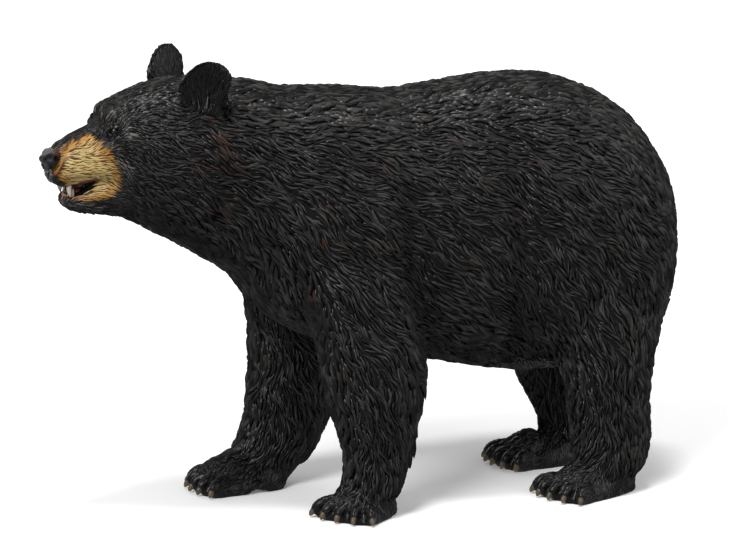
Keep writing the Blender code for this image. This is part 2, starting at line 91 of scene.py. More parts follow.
def at(forward, outward, up, side=1):
    return Vector((MIDPLANE + side * outward * MM, -forward * MM, up * MM))


def local(points):
    """Rows of forward, outward and up, in millimetres, from rows of points in metres."""
    return np.column_stack((-points[:, 1], points[:, 0] - MIDPLANE, points[:, 2])) / MM


def folded(places):
    """Places with the right side of the bear folded over the left one."""
    return np.column_stack((places[:, 0], np.abs(places[:, 1]), places[:, 2]))


def smoothstep(low, high, values):
    share = np.clip((values - low) / (high - low), 0, 1)
    return share * share * (3 - 2 * share)


def bell(distance, width):
    return np.exp(-(distance / width) ** 2)


def unit(vector):
    return vector / np.linalg.norm(vector)


def unit_rows(rows):
    return rows / np.maximum(np.linalg.norm(rows, axis=1, keepdims=True), 1e-9)


print("midplane at x =", round(MIDPLANE / MM, 2), "mm")

# %% [markdown]
# ## Camera
# A long lens from a little above the shoulder keeps the bear's own proportions.

# %% Camera
LENS = 197.97  # mm, on a 36 mm wide sensor
VIEW_YAW = math.radians(22)  # forward of square-on to the left side
VIEW_PITCH = math.radians(11.5)
VIEW_DISTANCE = 600  # mm
LOOK_AT = at(0, 0, 34)
back = Vector((
    math.cos(VIEW_YAW) * math.cos(VIEW_PITCH),
    -math.sin(VIEW_YAW) * math.cos(VIEW_PITCH),
    math.sin(VIEW_PITCH),
))
bpy.ops.object.camera_add(location=LOOK_AT + back * VIEW_DISTANCE * MM)
camera = bpy.context.object
camera.rotation_euler = back.to_track_quat("Z", "Y").to_euler()
camera.data.lens = LENS
camera.data.clip_start = 0.01
bpy.context.scene.camera = camera

# %% [markdown]
# ## Shader sums as Python sums
# A wrapped socket adds a Math node for each operator, so a mask reads as a formula.

# %% Socket arithmetic
def sum_node(operation):
    """A method that adds one Math node."""
    return lambda self, *others: self.shader.node(
        "ShaderNodeMath", {"operation": operation}, self, *others)


class Value:
    """A socket that takes part in Python arithmetic."""

    def __init__(self, shader, socket):
        self.shader, self.socket = shader, socket

    def __rsub__(self, other):
        return self.shader.node("ShaderNodeMath", {"operation": "SUBTRACT"}, other, self)

    def clamp(self):
        return self.shader.node("ShaderNodeClamp", {}, self)

    __add__ = __radd__ = sum_node("ADD")
    __mul__ = __rmul__ = sum_node("MULTIPLY")
    __sub__ = sum_node("SUBTRACT")
    __truediv__ = sum_node("DIVIDE")
    __abs__ = sum_node("ABSOLUTE")
    power = sum_node("POWER")


class Shader:
    """A Principled material and the one method that adds nodes to it."""

    def __init__(self, name, **constants):
        self.material = bpy.data.materials.new(name)
        self.material.use_nodes = True
        self.tree = self.material.node_tree
        self.principled = self.tree.nodes["Principled BSDF"]
        for socket, value in constants.items():
            self.principled.inputs[socket.replace("_", " ")].default_value = value

    def node(self, kind, settings, *inputs, output=0, **named):
        made = self.tree.nodes.new(kind)
        for key, value in settings.items():
            setattr(made, key, value)
        for socket, value in list(enumerate(inputs)) + list(named.items()):
            target = made.inputs[socket]
            if isinstance(value, Value):
                self.tree.links.new(value.socket, target)
            else:
                target.default_value = value
        return Value(self, made.outputs[output])

    def mix(self, factor, first, second):
        made = self.tree.nodes.new("ShaderNodeMix")
        made.data_type, made.clamp_factor = "RGBA", True
        for socket, value in ((0, factor), (6, first), (7, second)):
            if isinstance(value, Value):
                self.tree.links.new(value.socket, made.inputs[socket])
            else:
                made.inputs[socket].default_value = (*value, 1) if socket else value
        return Value(self, made.outputs[2])

    def position(self):
        """Forward, outward and up in millimetres, with outward the same on both sides."""
        raw = self.node("ShaderNodeTexCoord", {}, output=3)
        split = self.node("ShaderNodeSeparateXYZ", {}, raw)
        x, y, z = (Value(self, split.socket.node.outputs[i]) for i in range(3))
        return raw, y * (-1 / MM), abs(x - MIDPLANE) / MM, z / MM

    def noise(self, place, scale, detail):
        return self.node("ShaderNodeTexNoise", {}, Vector=place, Scale=scale, Detail=detail)

    def step(self, low, high, value):
        return self.node(
            "ShaderNodeMapRange", {"interpolation_type": "SMOOTHSTEP"}, value, low, high, 0.0, 1.0)

    def attribute(self, name):
        return self.node("ShaderNodeAttribute", {"attribute_name": name}, output=2)

    def link(self, value, socket):
        self.tree.links.new(value.socket, self.principled.inputs[socket])

    def bump(self, height, distance, strength):
        self.link(self.node(
            "ShaderNodeBump", {}, Strength=strength, Distance=distance, Height=height), "Normal")


# %% [markdown]
# ## Floor and light
# The floor is a plain pale sheet that glows faintly, under a broad soft sky, so shadows stay
# faint. Four far lamps shape the bear. The one overhead is narrow and draws a crisp glint along
# the ridges of the back, and the wider ones open the shadows ahead, behind and on the far side.

# %% Floor and light
FLOOR_GLOW = 0.12
SKY_STRENGTH = 0.42
LAMPS = (
    # name, how far ahead, outward and up it stands, its strength and its width in degrees
    ("overhead", 30, 60, 300, 1.1, 10),
    ("front", 260, 200, 260, 1.9, 24),
    ("rear", -220, 260, 170, 0.7, 50),
    ("far_fill", 30, -300, 130, 0.5, 50),
)
floor_paint = Shader(
    "studio_floor", Base_Color=(0.97, 0.97, 0.97, 1), Roughness=1.0, Specular_IOR_Level=0.0,
    Emission_Color=(1.0, 1.0, 1.0, 1), Emission_Strength=FLOOR_GLOW)
bpy.ops.mesh.primitive_plane_add(size=12, location=(0, 0, -0.02 * MM))
floor = bpy.context.object
floor.name = "studio_floor"
floor.data.materials.append(floor_paint.material)
floor.visible_diffuse = floor.visible_glossy = False
floor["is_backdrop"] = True

scene = bpy.context.scene
scene.world = scene.world or bpy.data.worlds.new("studio")
scene.world.use_nodes = True
sky = scene.world.node_tree.nodes["Background"]
sky.inputs["Color"].default_value = (1.0, 1.0, 1.0, 1)
sky.inputs["Strength"].default_value = SKY_STRENGTH
scene.view_settings.view_transform = "Standard"
for name, forward, outward, up, strength, width in LAMPS:
    bpy.ops.object.light_add(type="SUN", location=at(forward, outward, up))
    lamp = bpy.context.object
    lamp.name = name
    lamp.data.energy = strength
    lamp.data.angle = math.radians(width)
    lamp.rotation_euler = Vector((outward, -forward, up)).to_track_quat("Z", "Y").to_euler()
print("lamps:", len(LAMPS))

# %% [markdown]
# ## One skin
# The body's solids are parted by thin cuts. Copies of them are joined, swollen until they meet,
# and remeshed as one closed skin. The skin is then drawn in by the depth of the relief that
# will stand on it: deep on the body, shallow on the face and feet.

# %% Read and write a mesh as arrays
def rows_of(mesh, what):
    rows = np.empty(len(mesh.vertices) * 3, np.float32)
    mesh.vertices.foreach_get(what, rows)
    return rows.reshape(-1, 3).astype(float)


def read(obj):
    """A mesh's points, their normals and their places on the bear."""
    points = rows_of(obj.data, "co")
    return points, rows_of(obj.data, "normal"), local(points)


def put(obj, points):
    obj.data.vertices.foreach_set("co", points.astype(np.float32).ravel())
    obj.data.update()


def store(mesh, name, values):
    """One number for each point, for the paint to read."""
    layer = mesh.attributes.new(name, "FLOAT", "POINT")
    layer.data.foreach_set("value", values.astype(np.float32))


def bear_axes(vectors):
    """World vectors as forward, outward and up."""
    return np.column_stack((-vectors[:, 1], vectors[:, 0], vectors[:, 2]))


def world_axes(vectors):
    """The way back from bear_axes."""
    return np.column_stack((vectors[:, 1], -vectors[:, 0], vectors[:, 2]))


def in_millimetres(point):
    return np.array(((-point.y) / MM, (point.x - MIDPLANE) / MM, point.z / MM))


# %% Join the flesh into one skin
FLESH = ["head", "lower_jaw", "neck", "trunk_front", "trunk_rear", "tail"]
PAIRS = ("ear", "foreleg", "hindleg", "forepaw", "hindpaw")
FLESH += [f"{piece}_{word}" for piece in PAIRS for word in SIDES]
MERGE = 0.002 * MM
SWELL = 0.2 * MM  # a little over half of a cut between two solids
SKIN_VOXEL = 0.24 * MM


def select_only(obj):
    bpy.ops.object.select_all(action="DESELECT")
    obj.select_set(True)
    bpy.context.view_layer.objects.active = obj


def apply_modifier(obj, kind, **settings):
    select_only(obj)
    modifier = obj.modifiers.new(kind.title(), kind)
    for key, value in settings.items():
        setattr(modifier, key, value)
    bpy.ops.object.modifier_apply(modifier=modifier.name)


def linked(name, data):
    made = bpy.data.objects.new(name, data)
    scene.collection.objects.link(made)
    return made


def joined(objects):
    select_only(objects[0])
    for obj in objects:
        obj.select_set(True)
    bpy.ops.object.join()
    return bpy.context.object


def joined_copy(name, nodes):
    """One new object from copies of CAD nodes, with their loose corners merged."""
    made = joined([linked(name, NODES[node].data.copy()) for node in nodes])
    made.data.materials.clear()
    bpy.ops.object.mode_set(mode="EDIT")
    bpy.ops.mesh.select_all(action="SELECT")
    bpy.ops.mesh.remove_doubles(threshold=MERGE)
    bpy.ops.object.mode_set(mode="OBJECT")
    return made


skin = joined_copy("skin", FLESH)
# The solids' teeth are too thin for the remesh. They are pressed flat, and made anew below.
TOOTH_REACH = 0.6  # mm around the axis of a tooth
SOLID_TEETH = (
    # how far ahead and outward a tooth stands, its lower and upper height, and its gum's
    (47.3, 2.6, 49.5, 51.4, 51.4),
    (46.4, 2.1, 48.85, 50.4, 48.85),
)
for vertex in skin.data.vertices:
    forward, outward, up = in_millimetres(vertex.co)
    for ahead, aside, low, high, gum in SOLID_TEETH:
        if math.hypot(forward - ahead, abs(outward) - aside) < TOOTH_REACH and low < up < high:
            vertex.co.z = gum * MM
            break
apply_modifier(skin, "DISPLACE", strength=SWELL, mid_level=0.0)
print("flesh:", len(skin.data.polygons), "faces")

# %% [markdown]
# The solids' paws end in a plain edge. The real toes are five long rounded lumps, so an
# ellipsoid is laid behind each claw, pointing the way that claw does. A wider one slopes from
# each leg down to its toes as the instep, and one closes the bridge under the back of the nose
# pad. All melt into the body when the skin is remeshed.

# %% Add the toes, the insteps and the end of the bridge
PAWS = [f"{piece}_{word}" for piece in ("forepaw", "hindpaw") for word in SIDES]
TOES = {}  # claw node: the toe's heading and the middle of its claw
for paw in PAWS:
    hub = middle_of(paw)
    for number in range(1, 6):
        claw = f"claw_{paw}_{number}"
        heading = middle_of(claw) - hub
        heading.z = 0
        TOES[claw] = heading.normalized(), middle_of(claw)


def ellipsoid(place, scale, segments=24, rings=16, radius=1.0, heading=Vector(), lean=0):
    """A rounded lump, sized in mm along its heading, across it and up, that leans down ahead."""
    bpy.ops.mesh.primitive_uv_sphere_add(
        segments=segments, ring_count=rings, radius=radius * MM, location=place)
    lump = bpy.context.object
    lump.scale = scale
    lump.rotation_euler = (0, math.radians(lean), math.atan2(heading.y, heading.x))
    bpy.ops.object.transform_apply()
    return lump


def behind(claw, distance, height):
    """The place a way behind a claw, at a height, both in millimetres."""
    heading, claw_middle = TOES[claw]
    place = claw_middle - heading * distance * MM
    place.z = height * MM
    return place


INSTEP_SCALE = {"forepaw": (4.6, 4.1, 2.5), "hindpaw": (4.2, 3.8, 2.0)}
masses = [skin, ellipsoid(at(46.9, 0, 54.9), (2.6, 2.15, 2.35))]
for claw, (heading, _) in TOES.items():
    masses.append(ellipsoid(
        behind(claw, 2.4, 1.72), (2.9, 1.27, 1.75), 20, 12, heading=heading, lean=15))
for paw in PAWS:
    middle_claw = f"claw_{paw}_3"
    masses.append(ellipsoid(
        behind(middle_claw, 5.0, 2.9), INSTEP_SCALE[paw.split("_")[0]],
        heading=TOES[middle_claw][0], lean=24))
skin = joined(masses)
apply_modifier(skin, "REMESH", mode="VOXEL", voxel_size=SKIN_VOXEL)
apply_modifier(skin, "SMOOTH", factor=0.5, iterations=4)
print("skin:", len(skin.data.vertices), "points from", len(masses), "masses")

# %% Divide the face more finely
FINE_FROM = 39.0  # mm forward
FINE_HEIGHTS = (45.5, 62)  # mm up: the muzzle, mouth and eyes
select_only(skin)
bpy.ops.object.mode_set(mode="EDIT")
bpy.ops.mesh.select_all(action="DESELECT")
edited = bmesh.from_edit_mesh(skin.data)
for face in edited.faces:
    middle = face.calc_center_median() / MM
    if -middle.y > FINE_FROM and FINE_HEIGHTS[0] < middle.z < FINE_HEIGHTS[1]:
        face.select = True
bmesh.update_edit_mesh(skin.data)
bpy.ops.mesh.subdivide(number_cuts=1, smoothness=0.0)
bpy.ops.mesh.vertices_smooth(factor=0.5, repeat=2)
bpy.ops.object.mode_set(mode="OBJECT")
print("with a finer face:", len(skin.data.vertices), "points")

# %% [markdown]
# The face is finer than the body, so how deep, long and wide the relief is depends on where it
# is. These few shares, each from 0 to 1, are used for the skin and for the fur. The table gives
# every measure of the relief over the body, and the one it changes to in each region.

# %% Regions of the body
EYE = {word: in_millimetres(middle_of(f"eye_{word}")) for word in SIDES}
EAR = {word: in_millimetres(middle_of(f"ear_{word}")) for word in SIDES}
EAR_REACH = (4.6, 3.4, 5.0)  # mm, half sizes around the middle of an ear
EAR_LIFT = 1.2  # mm above that middle


def regions(places):
    """Shares from 0 to 1 of each region of the body. They fade over these millimetres."""
    forward, outward, up = folded(places).T
    ear_axis = np.abs(EAR["left"])
    ear_reach = np.sqrt(
        ((forward - ear_axis[0]) / EAR_REACH[0]) ** 2
        + ((outward - ear_axis[1]) / EAR_REACH[1]) ** 2
        + ((up - ear_axis[2] - EAR_LIFT) / EAR_REACH[2]) ** 2
    )
    cheek = forward + 0.25 * (57 - up) * (up < 57)  # the muzzle reaches further back low down
    toe = np.zeros(len(places))
    low = up < 5
    for _, claw_middle in TOES.values():
        claw = in_millimetres(claw_middle)
        away = np.linalg.norm(places[low] - claw, axis=1)
        toe[low] = np.maximum(toe[low], 1 - smoothstep(2.2, 3.6, away))
    return {
        "leg": 1 - smoothstep(12, 24, up),
        "head": smoothstep(27.0, 33.0, forward) * smoothstep(40, 45, up),
        "face": smoothstep(35.0, 40.5, forward) * smoothstep(42, 46, up),
        "muzzle": smoothstep(40.4, 42.2, cheek) * (up < 59.8),
        "foot": 1 - smoothstep(3.5, 7.5, up),
        "toe": toe,
        "ear": 1 - smoothstep(0.90, 1.05, ear_reach),
    }


RELIEF = {
    # mm: body, leg, head, face, muzzle, foot, toe, ear
    "depth": (0.42, 0.34, 0.34, 0.18, 0.08, 0.12, 0.0, 0.14),
    "spacing": (0.74, 0.65, 0.56, 0.42, 0.34, 0.50, 0.58, 0.46),
    "length": (3.8, 3.6, 2.8, 1.8, 1.8, 1.6, 1.2, 2.4),
    "half_width": (0.34, 0.30, 0.26, 0.18, 0.17, 0.20, 0.16, 0.19),
    "height": (0.62, 0.54, 0.44, 0.28, 0.12, 0.15, 0.07, 0.16),
    "tip_lift": (0.14, 0.20, 0.08, 0.03, 0.0, 0.0, -0.05, 0.02),
}


def relief(measure, share):
    """One measure of the relief at each place, in millimetres."""
    value = np.full(len(share["leg"]), RELIEF[measure][0])
    for region_share, target in zip(share.values(), RELIEF[measure][1:]):
        value += (target - value) * region_share
    return value


# %% Draw the skin in by the depth of the relief
points, normals, places = read(skin)
depth = relief("depth", regions(places))
put(skin, points - normals * (SWELL + depth[:, None] * MM))

# %% [markdown]
# ## Modelling strokes
# The solids hold the main masses. The finer forms of the body are pressed into the skin as a
# sculptor would with a loop tool: each stroke follows a few places over the left side, is
# mirrored, and moves the skin out or in by its amount, fading over its width.

# %% Strokes along the body
def distance_to(line, places):
    """Shortest distance in millimetres from each place to a broken line."""
    nearest = np.full(len(places), np.inf)
    line = np.atleast_2d(np.array(line, float))
    for start, end in zip(line, line[1:] if len(line) > 1 else line):
        along = end - start
        reach = max(along @ along, 1e-9)
        share = np.clip((places - start) @ along / reach, 0, 1)
        away = places - start - share[:, None] * along
        nearest = np.minimum(nearest, np.linalg.norm(away, axis=1))
    return nearest


STROKES = (
    # amount, width, then places as forward, outward and up
    (-1.25, 2.1, (0.3, 16, 57), (-0.8, 16.5, 50), (-1.2, 16.5, 42), (-2.2, 16, 34), (-3, 14, 27)),
    (0.50, 1.8, (2.8, 16, 46), (2.4, 16.3, 38), (1.8, 15.5, 30)),
    (-1.25, 2.3, (-17, 13, 60), (-18, 17, 52), (-18.3, 17.3, 42), (-18.5, 16.5, 32), (-20, 13, 23)),
    (0.50, 1.8, (-20.8, 14, 58), (-21.2, 17, 52), (-21.6, 17.5, 45)),
    (0.35, 5.0, (-11.5, 16.5, 41), (-12.5, 16.5, 35)),
    (0.50, 1.3, (27.3, 10.3, 60), (27.2, 11, 56), (27.8, 11, 51.5), (29.2, 10, 47.5)),
    (-0.55, 1.7, (24.9, 11.6, 61), (24.9, 12, 55), (25.4, 11.8, 50.5), (27, 10.3, 45.5)),
    (-0.40, 1.4, (32, 9.2, 60), (30.5, 10, 58.8), (28.8, 10.5, 58.6)),
    (0.35, 3.0, (-27, 16.5, 27.5), (-28, 16.8, 25)),
    (-0.45, 2.4, (-33, 16, 33), (-37, 14.5, 29), (-41, 12.5, 27)),
    (-0.50, 2.2, (13, 10.5, 36), (11.5, 12, 30), (11, 12.5, 26)),
    (0.30, 3.2, (10, 15, 45), (6, 16.5, 44)),
    (-0.40, 2.6, (9, 15.2, 52), (4, 15.8, 51), (2, 15.8, 48)),
)


def press(normals, places, line, amount, width):
    """How far one stroke moves each point along its normal."""
    return normals * (amount * MM * bell(distance_to(line, places), width))[:, None]


def sculpt(obj, strokes):
    points, normals, places = read(obj)
    places = folded(places)
    for amount, width, *line in strokes:
        points += press(normals, places, line, amount, width)
    put(obj, points)


sculpt(skin, STROKES)
print("body strokes:", len(STROKES))

# %% [markdown]
# Between the toes a groove runs back over the paw. The two paws of a pair stand differently,
# so these strokes are laid between neighbouring claws and aren't mirrored.

# %% Grooves between the toes
GROOVE_DEPTH, GROOVE_WIDTH = 0.55, 0.42  # mm
GROOVE_PATH = ((-0.3, 0.3), (0.6, 1.5), (1.6, 2.6), (3.4, 3.9), (5.2, 4.9))  # mm back and up
points, normals, places = read(skin)
low = places[:, 2] < 6
for paw in PAWS:
    for number in range(1, 5):
        first, second = TOES[f"claw_{paw}_{number}"], TOES[f"claw_{paw}_{number + 1}"]
        heading = (first[0] + second[0]).normalized()
        front = (first[1] + second[1]) / 2
        line = []
        for back_by, height in GROOVE_PATH:
            spot = front - heading * back_by * MM
            spot.z = height * MM
            line.append(in_millimetres(spot))
        points[low] += press(normals[low], places[low], line, -GROOVE_DEPTH, GROOVE_WIDTH)
put(skin, points)

# %% [markdown]
# ## Ears
# Each ear is a shallow shell that opens ahead and outward. The solids hold its outline. Its
# hollow is pressed in here, deepest low down towards the head, and leaves a thin raised rim.

# %% Hollow the ears
EAR_FACING = math.radians(60)  # from straight ahead towards the side
EAR_SIZE = (3.25, 4.0)  # mm, half the width and height of the hollow
EAR_DEPTH = 1.15  # mm
points, normals, places = read(skin)
for word, side in SIDES.items():
    opening = unit(np.array((math.cos(EAR_FACING), side * math.sin(EAR_FACING), 0.05)))
    across = unit(np.cross(opening, (0, 0, 1.0)))
    away = places - (EAR[word] + (0.35, 0, 0.75))
    reach = np.sqrt(
        ((away @ across) / EAR_SIZE[0]) ** 2 + (away[:, 2] / EAR_SIZE[1]) ** 2)
    near = (np.linalg.norm(away, axis=1) < 6.2) & (bear_axes(normals) @ opening > 0.15)
    depth = EAR_DEPTH * np.clip(1 - reach ** 2, 0, 1) ** 0.6 * (1 - 0.10 * away[:, 2]) * near
    points -= world_axes(opening[None])[0] * depth[:, None] * MM
put(skin, points)
apply_modifier(skin, "SMOOTH", factor=0.4, iterations=1)

# %% Lean the ears back and narrow their roots behind
EAR_LEAN, EAR_SHIFT = 0.13, 0.25  # mm back per mm of height, and mm the other way all over
EAR_NARROW = 0.34  # share of its width that the back of the root loses
points, _, places = read(skin)
ear_share = regions(places)["ear"]
for word, side in SIDES.items():
    outer = np.array((-math.sin(EAR_FACING), side * math.cos(EAR_FACING), 0))
    away = places - EAR[word]
    across, height = away @ outer, away[:, 2]
    weight = ear_share * (np.linalg.norm(away, axis=1) < 8)
    narrow = EAR_NARROW * smoothstep(3.0, -3.5, height) * np.clip(across, 0, None)
    move = (EAR_LEAN * height - EAR_SHIFT - narrow) * weight
    points += world_axes(outer[None])[0] * move[:, None] * MM
put(skin, points)
print("ears hollowed and leant")

# %% [markdown]
# ## Face
# The brow, the folds of the stop, the whisker pads and the lips are strokes again. Each eye
# sits at the corner of the brow. The solids' round socket is filled level with the skull first,
# then an almond opening is pressed in and its two lids are raised.

# %% Strokes on the face
FACE_STROKES = (
    # amount, width, then places as forward, outward and up
    (0.35, 1.2, (41.6, 2.4, 61.4), (40.6, 4.4, 61.2), (39.2, 6.0, 60.4)),
    (-0.35, 0.9, (42.9, 3.0, 58.6), (42.2, 4.2, 58.2)),
    (-0.22, 0.28, (41.9, 1.7, 60.6), (42.5, 2.1, 59.2), (43.2, 2.6, 57.9)),
    (-0.24, 0.28, (41.6, 2.7, 60.5), (42.1, 3.1, 59.0), (42.8, 3.7, 57.5)),
    (-0.22, 0.26, (41.2, 3.7, 60.2), (41.7, 3.9, 59.2)),
    (0.30, 1.5, (46.0, 3.3, 53.2), (43.8, 4.6, 53.0)),
    (-0.20, 0.8, (42.1, 5.9, 55.6), (41.0, 6.2, 52.6), (41.4, 5.6, 50.2)),
    (0.30, 1.6, (38.8, 7.3, 57.0), (36.5, 8.5, 56.0)),
    (0.16, 0.35, (47.8, 1.6, 50.8), (47.2, 2.6, 51.0), (45.8, 3.4, 51.2), (43.8, 4.2, 51.5),
     (42.7, 4.7, 51.9)),
    (-0.12, 0.3, (47.6, 2.6, 51.9), (45.8, 3.8, 52.0), (43.6, 4.6, 52.3)),
    (0.15, 0.35, (47.1, 1.2, 48.5), (46.1, 2.9, 48.9), (44.6, 3.6, 49.6), (42.8, 4.4, 51.0)),
    (-0.25, 0.3, (49.2, 0.0, 52.2), (48.5, 0.0, 51.2), (48.0, 0.0, 50.6)),
    (-0.3, 0.6, (46.8, 2.0, 57.2), (48.3, 2.9, 55.3), (48.6, 2.4, 52.8)),
)
sculpt(skin, FACE_STROKES)
print("face strokes:", len(FACE_STROKES))

# %% Draw the lips to their line
UPPER_LIP = (
    (48.5, 0.0, 50.9), (48.1, 1.3, 50.8), (47.2, 2.5, 50.8), (45.8, 3.4, 51.1),
    (43.8, 4.2, 51.7), (42.4, 4.7, 52.2))
LOWER_LIP = (
    (47.5, 0.0, 48.4), (47.1, 1.2, 48.4), (46.1, 2.8, 48.8), (44.6, 3.6, 49.5),
    (42.8, 4.4, 50.9), (42.0, 4.6, 52.0))
PULLS = (
    # how far ahead and up in mm, width, then places
    (0.10, -0.75, 0.75, (48.5, 0.0, 51.4), (48.2, 1.2, 51.4), (47.5, 2.2, 51.4)),
    (0.00, -0.35, 0.65, (46.8, 2.9, 51.4), (46.0, 3.4, 51.4)),
    (0.00, 0.35, 0.60, (43.8, 4.2, 51.5), (42.7, 4.6, 51.8)),
    (0.20, -0.30, 0.80, (47.4, 0.0, 48.2), (47.0, 1.2, 48.2)),
)
points, _, places = read(skin)
places = folded(places)
for ahead, raised, width, *line in PULLS:
    pull = bell(distance_to(line, places), width)
    points[:, 1] -= ahead * pull * MM
    points[:, 2] += raised * pull * MM
put(skin, points)

# %% Sockets and lids
EYE_RADIUS = 0.60
OPENING = (0.66, 0.40)  # mm, half the length and height of the almond
SKULL = 0.28  # mm from the middle of the solid eye out to the filled skull
SINK = 0.34  # mm that the eye as a whole lies behind the skull
SHOWING = 0.16  # mm of the ball ahead of that
EYE_LOOK = unit(np.array((0.60, 0.77, 0.16)))
eye_places = {}
for word, side in SIDES.items():
    look = EYE_LOOK * (1, side, 1)
    along = np.array((-0.77, side * 0.60, 0.22))  # from the inner corner to the outer one
    along -= along @ look * look
    along /= np.linalg.norm(along)
    above = np.cross(look, along)
    above *= np.sign(above[2])
    points, _, places = read(skin)
    away = places - EYE[word]
    length, height, out = away @ along, away @ above, away @ look
    level = SKULL - 0.10 * (length ** 2 + height ** 2)
    filled = (np.hypot(length, height) < 1.25) & (np.abs(out) < 1.6)
    out = np.where(filled, np.maximum(out, level), out)
    reach = np.sqrt((length / OPENING[0]) ** 2 + (height / OPENING[1]) ** 2)
    near = np.linalg.norm(away, axis=1) < 2.6
    move = -SINK * bell(reach, 3.0)
    move += 0.30 * bell(reach - 1.45, 0.45) * np.where(height > 0, 1.0, 0.65)  # the lids
    move -= 0.60 * np.clip(1 - reach ** 2, 0, 1) ** 0.5  # the opening between them
    shift = (out - away @ look) + move * near
    put(skin, points + world_axes(look[None])[0] * shift[:, None] * MM)
    eye_places[word] = EYE[word] + look * (SKULL - SINK - EYE_RADIUS + SHOWING), look
print("eye centre:", eye_places["left"][0].round(2))

# %% Round the edge of the soles and stand them on the floor
ARCHES = ((15.4, -5.6), (15.8, -15.5), (3.2, 18.9), (2.6, 9.5))  # mm, gaps between pad and heel
ARCH_HEIGHT, ARCH_WIDTH = 0.75, 1.5  # mm


def weigh(name, shares):
    """A vertex group of the skin from shares between 0 and 1, in tenths."""
    group = skin.vertex_groups.new(name=name)
    tenths = np.round(shares, 1)
    for level in np.unique(tenths):
        group.add(np.flatnonzero(tenths == level).tolist(), float(level), "REPLACE")


places = read(skin)[2]
weigh("sole", (1 - smoothstep(1.2, 3.0, places[:, 2])) * (1 - regions(places)["toe"]))
apply_modifier(skin, "SMOOTH", factor=0.8, iterations=22, vertex_group="sole")
points, normals, places = read(skin)
points[(points[:, 2] < 0.25 * MM) & (normals[:, 2] < -0.7), 2] = 0.0
for arch in ARCHES:
    away = np.linalg.norm(places[:, :2] - arch, axis=1)
    points[:, 2] += ARCH_HEIGHT * MM * bell(away, ARCH_WIDTH) * (places[:, 2] < 1.5)
points[:, 2] = np.maximum(points[:, 2], 0.0)
put(skin, points)
print("skin low at", round(points[:, 2].min() / MM, 3), "mm")

# %% [markdown]
# ## Which way the fur lies
# Short directions are noted at places over the left side: back along the body, down the
# shoulders and legs, up the stop of the face and round the haunch. Any other place takes the
# blend of the nearest ones, laid flat on the skin, and the right side mirrors them. Slow waves
# turn the blend from side to side, and that makes the S-shaped ridges of the carving.

# %% Directions of the coat
DROOP = (
    # columns down the side: how far ahead, then heights and how far the fur there turns down
    # from straight back, in degrees
    (38, (63, 5), (58.5, 10), (54, 28), (49.5, 30)),
    (33, (63, 20), (58, 20), (54, 32), (49, 34), (45, 30)),
    (27, (62, 20), (58, 28), (54, 30), (49, 42), (45, 30)), (26, (40, 36)),
    (21, (63, 15), (58, 30), (53, 31), (49, 33), (44, 36)), (22, (39, 58)), (21, (35, 66)),
    (20, (30, 76)),
    (16, (62, 9), (57, 17), (53, 26), (49, 40), (44, 43), (39, 55), (34, 61), (29, 66)),
    (11, (62, 14), (57, 20), (53, 27), (48, 38), (43, 45), (38, 45), (33, 48), (29, 60)),
    (5, (62, 20), (57, 18), (53, 24), (48, 35), (43, 40), (38, 38), (34, 52), (30, 52)),
    (-1, (61, 18), (57, 22), (52, 20), (48, 33), (43, 28), (39, 28), (34, 45), (30, 48)),
    (-7, (61, 14), (57, 22), (52, 23), (47, 31), (43, 27), (38, 32), (33, 42), (28, 26),
     (23, 10)),
    (-14, (61, 9), (56, 26), (51, 29), (47, 33), (42, 41), (37, 47), (32, 42), (27, 34),
     (22, 8)),
    (-20, (61, 5), (56, 21), (51, 37), (46, 34), (42, 40), (37, 49), (32, 59), (27, 55),
     (21, 38)),
    (-26, (61, 8), (55, 20), (50, 31), (46, 41), (41, 48), (36, 46), (32, 53), (27, 61),
     (22, 66)),
    (-32, (59, 29), (54, 31), (50, 39), (45, 41), (40, 46), (36, 58), (31, 57), (27, 58),
     (22, 60)), (-33, (17, 74), (11, 84)),
    (-38, (56, 42), (53, 52), (49, 53), (44, 52), (40, 50), (35, 60), (30, 72), (26, 88),
     (20, 91), (14, 92)), (-45, (50, 66)), (-47, (44, 76)), (-49, (38, 85)),
    (11, (24, 68), (19, 80), (14, 88)), (5, (24, 48), (19, 56), (14, 72), (9, 80)),
    (-1, (24, 60), (19, 86), (14, 94)), (13, (8, 100)), (9, (6.5, 110)), (12, (3.5, 135)),
    (18, (5, 140)), (21, (3.5, 150)), (4, (3, 95)), (-35, (7, 95)), (-29, (6, 130)),
    (-26, (4, 165)), (-25, (6, 150)), (-38, (4, 100)),
)
FACE_LIE = np.array((
    # forward, outward, up, then the direction there in the same three
    (47.0, 3.5, 54.0, -1.0, 0.1, 0.0), (44.0, 5.0, 53.0, -1.0, 0.1, -0.05),
    (46.0, 0.0, 57.5, -1.0, 0.0, 0.35), (42.0, 2.0, 60.0, -0.5, 0.2, 0.9),
    (40.0, 3.0, 62.5, -1.0, 0.1, 0.35), (36.0, 3.0, 64.2, -1.0, 0.1, 0.1),
    (42.5, 3.4, 58.3, -0.4, 0.3, 0.9), (40.5, 5.2, 60.5, -0.9, 0.3, 0.5),
    (38.5, 7.3, 58.5, -1.0, 0.3, -0.1), (37.0, 8.3, 55.0, -1.0, 0.2, -0.4),
    (40.0, 6.5, 52.5, -0.9, 0.3, -0.3), (41.5, 5.6, 50.0, -0.9, 0.2, -0.2),
    (37.0, 7.5, 50.0, -0.9, 0.1, -0.5), (45.0, 3.0, 48.0, -1.0, 0.2, 0.1),
    (42.0, 3.5, 46.6, -1.0, 0.0, -0.15), (37.0, 4.0, 44.5, -0.9, 0.0, -0.4),
))
FACE_LIE[:, 3:] = unit_rows(FACE_LIE[:, 3:])
